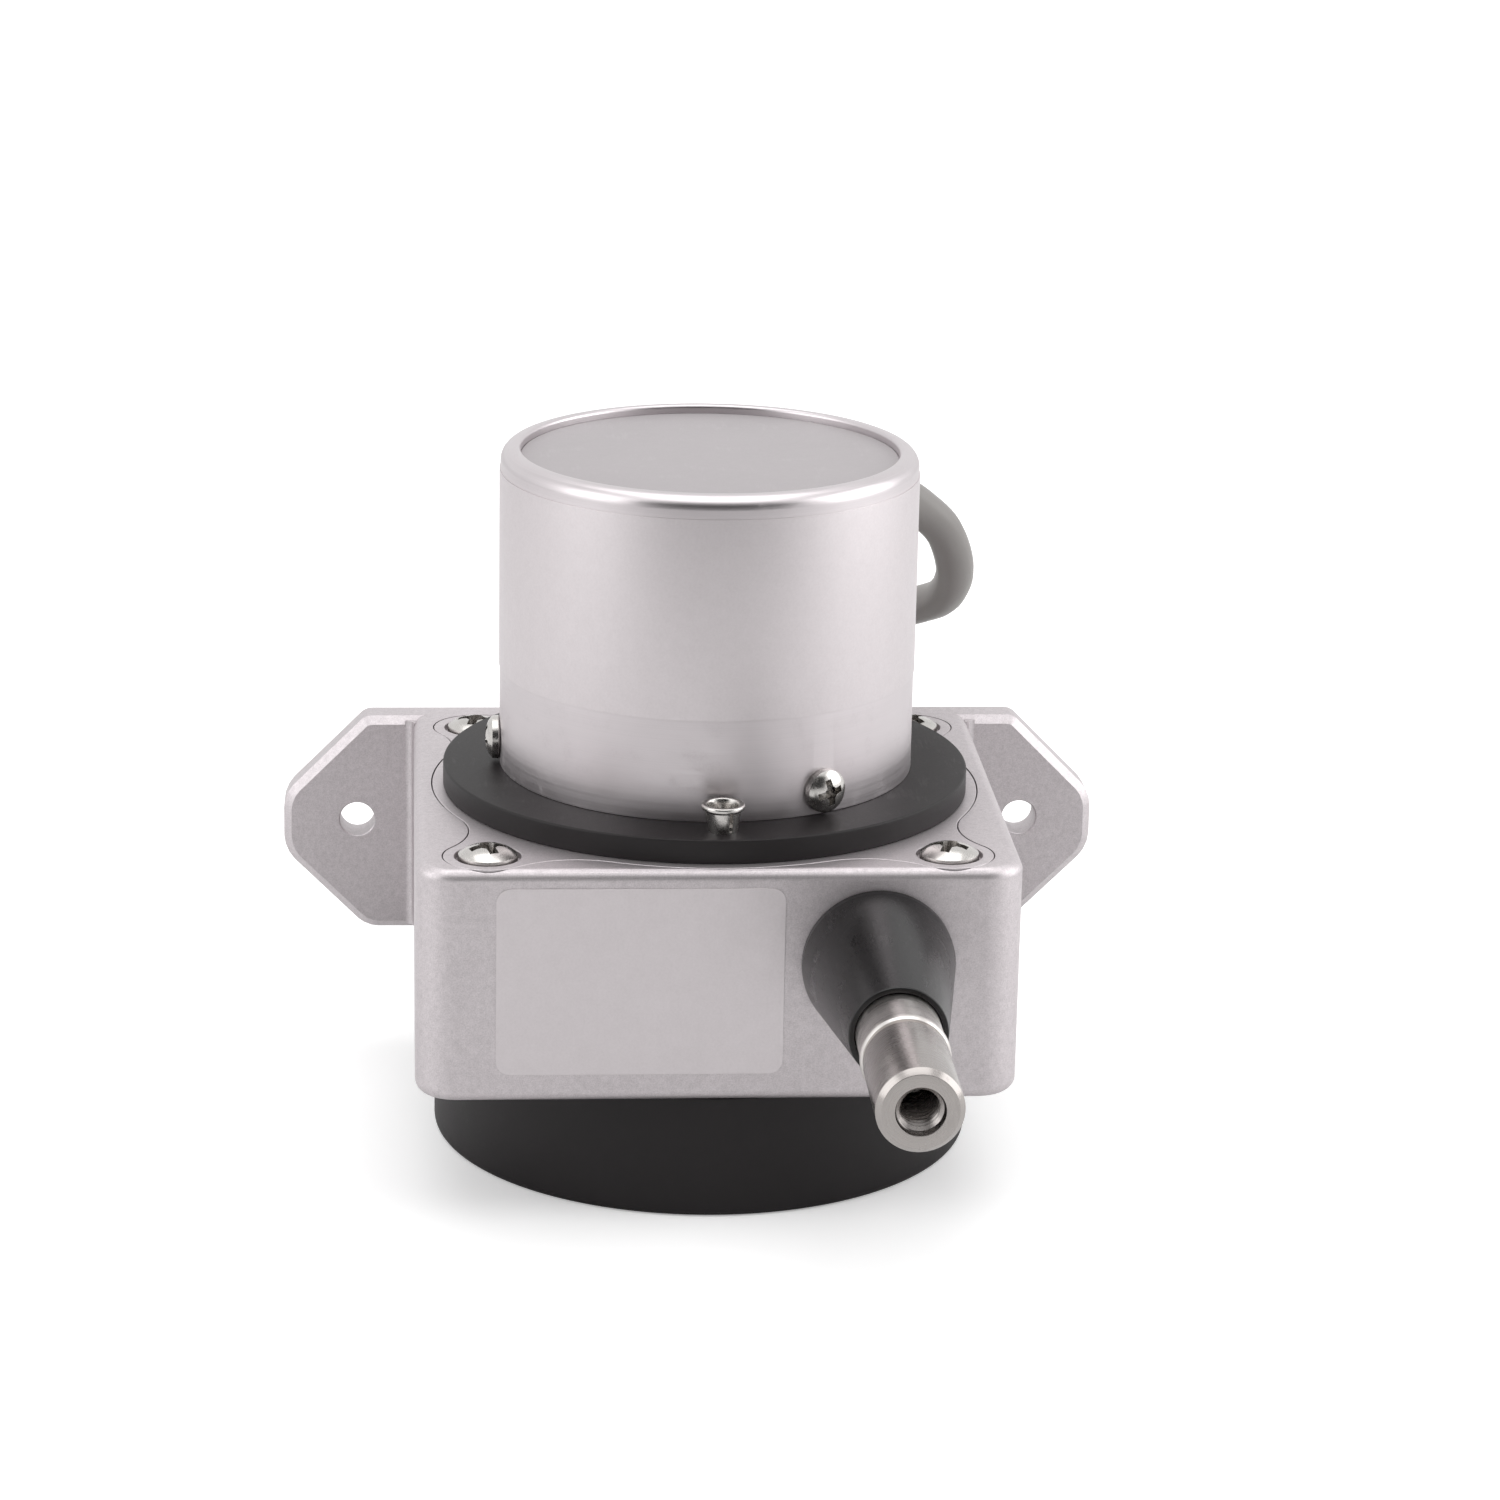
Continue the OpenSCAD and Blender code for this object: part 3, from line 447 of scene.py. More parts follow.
class Effects:
    """The shared surface effects, each built once."""

    def __init__(self) -> None:
        """Builds them all."""
        self.grain = self._grain()
        self.clouding = self._clouding()
        self.turning = self._turning()
        self.scuffs = self._scuffs()

    @staticmethod
    def _grain() -> Effect:
        """Fine grains of two sizes, as blasting, casting or spark erosion leaves them."""
        made = Effect("grain", {"Size": 0.3 * MM}, ["Level", "Height"])
        board, source = made.board, made.source
        scale = board.math("DIVIDE", 1.0, source["Size"])
        fine = board.add("TexNoise", vector=source["Vector"], scale=board.math("MULTIPLY", scale, 1.5),
                         detail=2.0, roughness=0.7)
        coarse = board.add("TexNoise", vector=source["Vector"], scale=board.math("MULTIPLY", scale, 0.33),
                           detail=1.0, roughness=0.5)
        both = board.mixed(coarse.outputs[0], 0.25, fine.outputs[0])
        board.feed(made.result["Level"], board.remap(both, 0.32, 0.68, 0.0, 1.0))
        board.feed(made.result["Height"], both)
        return made

    @staticmethod
    def _clouding() -> Effect:
        """Broad, soft changes of tone over a surface."""
        made = Effect("clouding", {"Size": 20 * MM}, ["Level"])
        board, source = made.board, made.source
        scale = board.math("DIVIDE", 1.0, source["Size"])
        cloud = board.add("TexNoise", vector=source["Vector"], scale=scale, detail=3.0, roughness=0.55)
        board.feed(made.result["Level"], board.remap(cloud.outputs[0], 0.3, 0.7, 0.0, 1.0))
        return made

    @staticmethod
    def _turning() -> Effect:
        """Lines round the Z axis, as a lathe leaves them on faces and on walls alike."""
        made = Effect("turning", {"Pitch": 0.2 * MM}, ["Level", "Height"])
        board, source = made.board, made.source
        scale = board.math("DIVIDE", 1.0, source["Pitch"])
        parts = board.add("SeparateXYZ", source["Vector"]).outputs
        flat = board.add("CombineXYZ", parts["X"], parts["Y"], 0.0)
        radius = board.add("VectorMath", flat.outputs[0], operation="LENGTH").outputs["Value"]
        track = board.add("CombineXYZ", radius, parts["Z"], 0.0)
        line = board.add("TexNoise", vector=track.outputs[0], scale=scale, detail=2.0, roughness=0.7)
        board.feed(made.result["Level"], board.remap(line.outputs[0], 0.3, 0.7, 0.0, 1.0))
        board.feed(made.result["Height"], line.outputs[0])
        return made

    @staticmethod
    def _scuffs() -> Effect:
        """Sparse short rubs and hairlines from handling."""
        made = Effect("scuffs", {"Size": 4 * MM, "Amount": 0.2}, ["Level"])
        board, source = made.board, made.source
        scale = board.math("DIVIDE", 1.0, source["Size"])
        stretched = board.add("Mapping", vector=source["Vector"], rotation=(0.3, 0.5, 0.8),
                              scale=(1.0, 0.12, 1.0))
        rub = board.add("TexNoise", vector=stretched.outputs[0], scale=board.math("MULTIPLY", scale, 9.0),
                        detail=4.0, roughness=0.75)
        patch = board.add("TexNoise", vector=source["Vector"], scale=scale, detail=1.0)
        edge = board.math("SUBTRACT", 0.8, board.math("MULTIPLY", source["Amount"], 0.3))
        level = board.math("MULTIPLY", rub.outputs[0], board.remap(patch.outputs[0], 0.4, 0.7, 0.6, 1.25))
        start = board.math("SUBTRACT", edge, 0.22)
        board.feed(made.result["Level"], board.remap(level, start, edge, 0.0, 1.0))
        return made


EFFECTS = Effects()


class Pattern(NamedTuple):
    """What varies over a finish."""

    colour: bpy.types.NodeSocket
    roughness: bpy.types.NodeSocket
    height: bpy.types.NodeSocket


@dataclass(frozen=True)
class Finish:
    """What every finish states. Each kind of finish has its own pattern."""

    name: str
    colour: Rgb
    roughness: float = 0.5
    contrast: float = 0.1
    metallic: float = 1.0
    specular: float = 0.5
    coat: float = 0.0
    bump: float = 0.4
    depth: float = 0.01 * MM

    def tinted(self, board: Board, level: Feed, darkest: float, lightest: float) -> bpy.types.NodeSocket:
        """The finish's colour times a factor that goes from the darkest to the lightest by a level."""
        dark, light = ([min(1.0, c * factor) for c in self.colour] for factor in (darkest, lightest))
        return board.tint(level, tuple(dark), tuple(light))

    def spread_of(self, margin: float) -> tuple[float, float]:
        """The roughness with a margin, first the most matt and then the glossiest."""
        return self.roughness + margin, self.roughness - margin

    def pattern(self, board: Board, where: bpy.types.NodeSocket) -> Pattern:
        """The finish's colour, roughness and relief at a point. Each kind of finish has its own."""
        raise NotImplementedError

    def make(self, centre: Vector | None = None) -> bpy.types.Material:
        """Builds the material.

        Args:
            centre: A point on the axis that the pattern runs round, where that isn't the Z axis itself. The
                axis is then along Y, as on the parts of the wire's end.

        Returns:
            The material.
        """
        made = bpy.data.materials.new(self.name)
        made.use_nodes = True
        made.node_tree.nodes.clear()
        board = Board(made.node_tree)
        where = board.add("TexCoord").outputs["Object"]
        if centre is not None:
            where = board.add("Mapping", vector=where, location=-centre).outputs[0]
            where = board.add("Mapping", vector=where, rotation=(math.radians(90), 0, 0)).outputs[0]
        colour, roughness, height = self.pattern(board, where)
        relief = board.add("Bump", strength=self.bump, distance=self.depth, height=height)
        shader = board.add("BsdfPrincipled", base_color=colour, roughness=roughness, metallic=self.metallic,
                           specular_ior_level=self.specular, coat_weight=self.coat, normal=relief.outputs[0])
        board.add("OutputMaterial", surface=shader.outputs[0])
        made.diffuse_color = (*self.colour, 1)
        return made


@dataclass(frozen=True)
class BlastedMetal(Finish):
    """Cast metal with a fine blasted skin."""

    grain: float = 0.28 * MM
    cloud: float = 22 * MM
    uneven: float = 0.06
    depth: float = 0.02 * MM
    contrast: float = 0.15
    bump: float = 0.5

    def pattern(self, board: Board, where: bpy.types.NodeSocket) -> Pattern:
        """Speckles the tone and gloss with the grain, and clouds the tone broadly."""
        grain = board.use(EFFECTS.grain, vector=where, size=self.grain)
        cloud = board.use(EFFECTS.clouding, vector=where, size=self.cloud)
        tone = board.mixed(cloud.outputs[0], 0.2, grain.outputs[0])
        colour = self.tinted(board, tone, 1 - self.contrast, 1 + self.contrast)
        rough = board.remap(grain.outputs[0], 0.0, 1.0, *self.spread_of(self.uneven))
        return Pattern(colour, rough, grain.outputs["Height"])


@dataclass(frozen=True)
class TurnedMetal(Finish):
    """Metal from the lathe: rings of slightly different gloss, with light handling marks.

    Above the height bright_from, where one is given, the metal is less rough, by the share brighter_by.
    """

    pitch: float = 0.22 * MM
    cloud: float = 14 * MM
    rub: float = 3 * MM
    rubbed: float = 0.12
    uneven: float = 0.15
    depth: float = 0.004 * MM
    contrast: float = 0.05
    scuffed: float = 0.2
    bright_from: float = math.inf
    brighter_by: float = 0.2

    def pattern(self, board: Board, where: bpy.types.NodeSocket) -> Pattern:
        """Rings the tone, gloss and relief, and adds rubs."""
        lines = board.use(EFFECTS.turning, vector=where, pitch=self.pitch)
        cloud = board.use(EFFECTS.clouding, vector=where, size=self.cloud)
        rubs = board.use(EFFECTS.scuffs, vector=where, size=self.rub, amount=self.scuffed)
        tone = board.mixed(cloud.outputs[0], 0.4, lines.outputs[0])
        colour = self.tinted(board, tone, 1 - self.contrast, 1 + self.contrast)
        matt, glossy = self.spread_of(self.roughness * self.uneven)
        rough = board.remap(lines.outputs[0], 0.0, 1.0, glossy, matt)
        rough = board.math("MULTIPLY_ADD", rubs.outputs[0], self.rubbed, rough)
        if self.bright_from < math.inf:
            height = board.add("SeparateXYZ", where).outputs["Z"]
            edge = self.bright_from + 0.6 * MM
            gloss = board.remap(height, self.bright_from, edge, 1.0, 1 - self.brighter_by)
            rough = board.math("MULTIPLY", rough, gloss)
        return Pattern(colour, rough, lines.outputs["Height"])


@dataclass(frozen=True)
class PlatedMetal(Finish):
    """Bright plating over pressed or ground metal, with faint staining and rubs."""

    grain: float = 0.16 * MM
    cloud: float = 2.4 * MM
    rub: float = 1.6 * MM
    rubbed: float = 0.14
    scuffed: float = 0.5
    contrast: float = 0.12
    bump: float = 0.25
    depth: float = 0.006 * MM

    def pattern(self, board: Board, where: bpy.types.NodeSocket) -> Pattern:
        """Stains the colour, and roughens it where it is rubbed."""
        cloud = board.use(EFFECTS.clouding, vector=where, size=self.cloud)
        grain = board.use(EFFECTS.grain, vector=where, size=self.grain)
        rubs = board.use(EFFECTS.scuffs, vector=where, size=self.rub, amount=self.scuffed)
        colour = self.tinted(board, cloud.outputs[0], 1 - self.contrast, 1 + self.contrast * 0.5)
        rough = board.remap(cloud.outputs[0], 0.0, 1.0, self.roughness * 1.25, self.roughness * 0.8)
        rough = board.math("MULTIPLY_ADD", rubs.outputs[0], self.rubbed, rough)
        return Pattern(colour, rough, grain.outputs["Height"])


@dataclass(frozen=True)
class Moulded(Finish):
    """Moulded plastic, rubber or film: a fine skin, soft tone changes, and some dust or rubs."""

    metallic: float = 0.0
    contrast: float = 0.08
    grain: float = 0.12 * MM
    cloud: float = 16 * MM
    rub: float = 5 * MM
    rubbed: float = -0.08
    scuffed: float = 0.15
    uneven: float = 0.04

    def pattern(self, board: Board, where: bpy.types.NodeSocket) -> Pattern:
        """Lays skin, tone and rubs over the colour."""
        grain = board.use(EFFECTS.grain, vector=where, size=self.grain)
        cloud = board.use(EFFECTS.clouding, vector=where, size=self.cloud)
        rubs = board.use(EFFECTS.scuffs, vector=where, size=self.rub, amount=self.scuffed)
        tone = board.mixed(cloud.outputs[0], 0.6, grain.outputs[0])
        colour = self.tinted(board, tone, 1 - self.contrast, 1 + self.contrast)
        rough = board.remap(grain.outputs[0], 0.0, 1.0, *self.spread_of(self.uneven))
        rough = board.math("MULTIPLY_ADD", rubs.outputs[0], self.rubbed, rough)
        return Pattern(colour, rough, grain.outputs["Height"])


@dataclass(frozen=True)
class Stranded(Finish):
    """Twisted wires: bright strands that wind round the pattern's axis, with painted shade in the gaps between
    them.
    """

    strands: int = 7
    lay: float = 6 * MM
    grain: float = 0.1 * MM
    uneven: float = 0.08
    depth: float = 0.08 * MM
    bump: float = 0.8

    def pattern(self, board: Board, where: bpy.types.NodeSocket) -> Pattern:
        """Winds light and dark bands round the axis, the dark ones painted shade in the grooves between the
        strands.
        """
        parts = board.add("SeparateXYZ", where).outputs
        angle = board.math("ARCTAN2", parts["X"], parts["Y"])
        twist = board.math("MULTIPLY", parts["Z"], math.tau / self.lay)
        phase = board.math("ADD", board.math("MULTIPLY", angle, float(self.strands)), twist)
        wave = board.math("ABSOLUTE", board.math("SINE", board.math("MULTIPLY", phase, 0.5)))
        grain = board.use(EFFECTS.grain, vector=where, size=self.grain)
        rough = board.remap(grain.outputs[0], 0.0, 1.0, *self.spread_of(self.uneven))
        # The colour runs from painted shade in the grooves (0.3 of the colour) to slightly lighter on the
        # strands' crests.
        return Pattern(self.tinted(board, wave, 0.3, 1.1), rough, wave)


class Paint(Enum):
    """Every finish on the sensor."""

    CAST_ALUMINIUM = BlastedMetal("cast_aluminium", (0.58, 0.542, 0.556), 0.5)
    CAN_ALUMINIUM = TurnedMetal("can_aluminium", (0.61, 0.571, 0.585), 0.42, depth=0.0025 * MM, contrast=0.06,
                                bright_from=Box.of("sensor_can").high.z - 2.4 * MM)
    SATIN_ALUMINIUM = TurnedMetal("satin_aluminium", (0.68, 0.68, 0.69), 0.3)
    FLANGE_PLASTIC = Moulded("flange_plastic", (0.014, 0.0115, 0.0122), 0.5, specular=0.3)
    CUP_PLASTIC = Moulded("cup_plastic", (0.0115, 0.009, 0.0098), 0.5, specular=0.3)
    BOOT_RUBBER = Moulded("boot_rubber", (0.007, 0.0063, 0.0066), 0.3, grain=0.2 * MM, specular=0.42)
    SEAL_RUBBER = Moulded("seal_rubber", (0.02, 0.02, 0.02), 0.6)
    NICKEL_STEEL = PlatedMetal("nickel_steel", (0.58, 0.56, 0.54), 0.22)
    FITTING_STEEL = TurnedMetal("fitting_steel", (0.38, 0.355, 0.342), 0.26, pitch=0.12 * MM, contrast=0.08)
    RING_NICKEL = TurnedMetal("ring_nickel", (0.66, 0.63, 0.61), 0.3, pitch=0.12 * MM, contrast=0.08)
    BEARING_STEEL = PlatedMetal("bearing_steel", (0.62, 0.62, 0.63), 0.14, contrast=0.04)
    SPRING_STEEL = PlatedMetal("spring_steel", (0.2, 0.22, 0.27), 0.3)
    BLACK_OXIDE = PlatedMetal("black_oxide", (0.05, 0.05, 0.055), 0.4)
    BRASS = TurnedMetal("brass", (0.72, 0.5, 0.24), 0.22)
    LABEL_FOIL = BlastedMetal("label_foil", (0.64, 0.6, 0.613), 0.45, grain=0.5 * MM, depth=0.003 * MM,
                              contrast=0.02)
    CAP_FILM = Moulded("cap_film", (0.4, 0.373, 0.383), 0.5, grain=0.4 * MM, depth=0.004 * MM, contrast=0.025)
    CABLE_SHEATH = Moulded("cable_sheath", (0.26, 0.245, 0.235), 0.42, contrast=0.06)
    TIE_NYLON = Moulded("tie_nylon", (0.03, 0.03, 0.03), 0.38)
    LEAD_BROWN = Moulded("lead_brown", (0.16, 0.065, 0.03), 0.35)
    LEAD_BLACK = Moulded("lead_black", (0.02, 0.02, 0.02), 0.35)
    LEAD_SHIELD = Stranded("lead_shield", (0.62, 0.6, 0.57), 0.3, lay=2.5 * MM)
    WIRE_ROPE = Stranded("wire_rope", (0.55, 0.55, 0.55), 0.3)
    BLUE_PLASTIC = Moulded("blue_plastic", (0.03, 0.1, 0.28), 0.3, coat=0.2)
    RESISTANCE_TRACK = Moulded("resistance_track", (0.13, 0.07, 0.035), 0.4)
    GREEN_BOARD = Moulded("green_board", (0.02, 0.13, 0.06), 0.25, grain=0.4 * MM, contrast=0.15, coat=0.3)
    COMPONENTS = Moulded("components", (0.04, 0.04, 0.042), 0.4)
    CERAMIC = Moulded("ceramic", (0.78, 0.76, 0.7), 0.15, coat=0.5, contrast=0.02)


class Dresser:
    """Makes each finish once and puts it on pieces."""

    def __init__(self) -> None:
        """Starts with no material made."""
        self.made: dict[tuple[Paint, str], bpy.types.Material] = {}

    def material(self, paint: Paint, centre: Vector | None = None) -> bpy.types.Material:
        """The material of a finish, turned about the Z axis or about a line along Y through a centre."""
        key = (paint, "upright" if centre is None else "along_wire")
        if key not in self.made:
            self.made[key] = paint.value.make(centre)
        return self.made[key]

    def dress(self, piece: bpy.types.Object, paint: Paint, centre: Vector | None = None) -> None:
        """Gives a new piece its one finish."""
        piece.data.materials.clear()
        piece.data.materials.append(self.material(paint, centre))

    def repaint(self, node: str, paint: Paint) -> None:
        """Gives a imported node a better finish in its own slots."""
        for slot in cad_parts[node].material_slots:
            slot.material = self.material(paint)


DRESSER = Dresser()


def place_piece(piece: bpy.types.Object, paint: Paint, body: str, slot: str, *nodes: str,
                centre: Vector | None = None) -> bpy.types.Object:
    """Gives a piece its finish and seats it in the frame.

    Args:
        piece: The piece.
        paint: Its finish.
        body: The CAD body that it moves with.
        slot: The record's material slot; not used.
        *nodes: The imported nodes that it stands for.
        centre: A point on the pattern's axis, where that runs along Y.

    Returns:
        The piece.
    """
    DRESSER.dress(piece, paint, centre)
    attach(piece, body)
    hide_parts(*nodes)
    log.info("%s rides on %s and stands for %s", piece.name, body, ", ".join(nodes))
    return piece


def make_piece(shape: Shape, name: str, paint: Paint, slot: str, *nodes: str, body: str = "case",
               broken: float = 0.0, smooth_below: float = 32.0,
               centre: Vector | None = None) -> bpy.types.Object:
    """Ends a shape as a piece of the sensor.

    Args:
        shape: The shape, which is used up.
        name: The piece's name.
        paint: Its finish.
        slot: The record's material slot.
        *nodes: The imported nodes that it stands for.
        body: The CAD body that it moves with.
        broken: Width to which its sharp edges are broken, or 0 to leave them.
        smooth_below: The angle in degrees up to which two faces shade as one.
        centre: A point on the pattern's axis, where that runs along Y.

    Returns:
        The piece.
    """
    piece = shape.to_object(name, smooth_below)
    if broken:
        soft_edges(piece, broken)
    return place_piece(piece, paint, body, slot, *nodes, centre=centre)


# ---- The room ----


@dataclass
class Studio:
    """The camera, the pale floor and the soft light round the sensor. None of it is part of the object."""

    eye: Vector = field(default_factory=lambda: Vector((-40.7, -611.3, 241.3)) * MM)
    aim: Vector = field(default_factory=lambda: Vector((6.2, 0.0, 53.8)) * MM)
    roll: float = math.radians(1.17)
    lens: float = 111.67
    sensor_width: float = 36.0
    clip: tuple[float, float] = (0.05, 50.0)
    sky: float = 0.72
    floor_size: tuple[float, float] = (12.0, 12.0)
    floor_tone: float = 0.93
    floor_lift: float = 0.3

    def build(self) -> None:
        """Places the camera, floor, world and lamps."""
        self._camera()
        self._floor()
        self._world()
        self._lamp("overhead", (0.0, 0.0, 1.1), (1.1, 1.0), 4.6)
        self._lamp("left", (-1.0, -0.35, 0.55), (0.8, 0.9), 3.4)
        self._lamp("right", (1.05, -0.05, 0.5), (1.0, 0.9), 5.3)
        self._card("room_behind_camera", (0.0, -1.5, 0.8), (3.0, 1.5), tone=0.02)
        log.info("studio built")

    def _camera(self) -> None:
        """A long lens from slightly left of and above the front."""
        ahead = (self.aim - self.eye).normalized()
        right = ahead.cross(Vector((0, 0, 1))).normalized()
        rise = right.cross(ahead)
        turned = Matrix.Rotation(-self.roll, 3, ahead)
        axes = Matrix((turned @ right, turned @ rise, -ahead)).transposed()
        data = bpy.data.cameras.new("camera")
        data.lens, data.sensor_width = self.lens, self.sensor_width
        data.clip_start, data.clip_end = self.clip
        camera = linked("camera", data)
        camera.matrix_world = Matrix.Translation(self.eye) @ axes.to_4x4()
        bpy.context.scene.camera = camera

    def _stand(self, name: str, data: bpy.types.ID) -> bpy.types.Object:
        """Links something that belongs to the room."""
        made = linked(name, data)
        return made

    def _sheet(self, name: str, size: tuple[float, float], tone: float, roughness: float) -> bpy.types.Object:
        """A flat sheet about the origin, with a plain grey finish."""
        sheet = Shape()
        bmesh.ops.create_grid(sheet.mesh, x_segments=1, y_segments=1, size=0.5)
        bmesh.ops.scale(sheet.mesh, vec=(*size, 1), verts=sheet.mesh.verts)
        data = sheet.release(name)
        paint = bpy.data.materials.new(name)
        paint.use_nodes = True
        shader = paint.node_tree.nodes["Principled BSDF"]
        shader.inputs["Base Color"].default_value = (tone, tone, tone, 1)
        shader.inputs["Roughness"].default_value = roughness
        data.materials.append(paint)
        return self._stand(name, data)

    def _floor(self) -> None:
        """A wide pale table top at the sensor's underside, white to the eye and clear from below."""
        floor = self._sheet("floor", self.floor_size, self.floor_tone, roughness=0.7)
        board = Board(floor.data.materials[0].node_tree)
        shader = board.tree.nodes["Principled BSDF"]
        lift = board.math("MULTIPLY", board.add("LightPath").outputs["Is Camera Ray"], self.floor_lift)
        board.feed(shader.inputs["Emission Color"], (1.0, 1.0, 1.0, 1.0))
        board.feed(shader.inputs["Emission Strength"], lift)
        seen = board.math("SUBTRACT", 1.0, board.add("NewGeometry").outputs["Backfacing"])
        board.feed(shader.inputs["Alpha"], seen)

    def _world(self) -> None:
        """White to the eye and in reflections, dimmer as a light."""
        world = bpy.data.worlds.new("sky")
        world.use_nodes = True
        world.node_tree.nodes.clear()
        board = Board(world.node_tree)
        path = board.add("LightPath").outputs
        seen = board.math("MAXIMUM", path["Is Camera Ray"], path["Is Glossy Ray"])
        seen = board.math("MAXIMUM", seen, path["Is Transmission Ray"])
        strength = board.remap(seen, 0.0, 1.0, self.sky, 1.0)
        back = board.add("Background", (1.0, 1.0, 1.0, 1.0), strength)
        board.feed(board.add("OutputWorld").inputs["Surface"], back.outputs[0])
        bpy.context.scene.world = world

    def _lamp(self, name: str, place: Sequence[float], size: tuple[float, float], power: float) -> None:
        """A soft box that faces the sensor."""
        data = bpy.data.lights.new(name, "AREA")
        data.shape, data.size, data.size_y, data.energy = "RECTANGLE", size[0], size[1], power
        self._face_sensor(self._stand(name, data), place)

    def _card(self, name: str, place: Sequence[float], size: tuple[float, float], tone: float) -> None:
        """A matt board that shows only as a tone in the metal."""
        card = self._sheet(name, size, tone, roughness=0.9)
        card.visible_camera = False
        self._face_sensor(card, place)

    def _face_sensor(self, made: bpy.types.Object, place: Sequence[float]) -> None:
        """Puts a thing in its place and turns it to the sensor."""
        made.location = place
        made.rotation_euler = (self.aim - Vector(place)).to_track_quat("-Z", "Y").to_euler()


# ---- Cable ----


def smooth_line(points: Sequence[Vector], steps: int) -> list[Vector]:
    """Points along a smooth curve through a list of points.

    Args:
        points: The points to pass through.
        steps: How many stretches lie between one point and the next.

    Returns:
        The finer points, the first and the last of the list among them.
    """
    line = []
    for i in range(len(points) - 1):
        a, b, c, d = (points[max(0, min(len(points) - 1, i + k))] for k in (-1, 0, 1, 2))
        for k in range(steps):
            t = k / steps
            line.append(0.5 * (2 * b + (c - a) * t + (2 * a - 5 * b + 4 * c - d) * t * t
                               + (3 * b - a - 3 * c + d) * t ** 3))
    return line + [points[-1]]


def length_of(line: Sequence[Vector]) -> float:
    """How long a line of points is."""
    return sum((b - a).length for a, b in zip(line, line[1:]))


def tube(name: str, line: Sequence[Vector], radius: float) -> bpy.types.Object:
    """A round cord along a line, as a curve of one open spline with closed ends."""
    data = bpy.data.curves.new(name, "CURVE")
    data.dimensions, data.bevel_depth, data.bevel_resolution = "3D", radius, 6
    data.use_fill_caps = True
    spline = data.splines.new("POLY")
    spline.points.add(len(line) - 1)
    for point, place in zip(spline.points, line):
        point.co = (*place, 1)
    spline.use_smooth = True
    return linked(name, data)


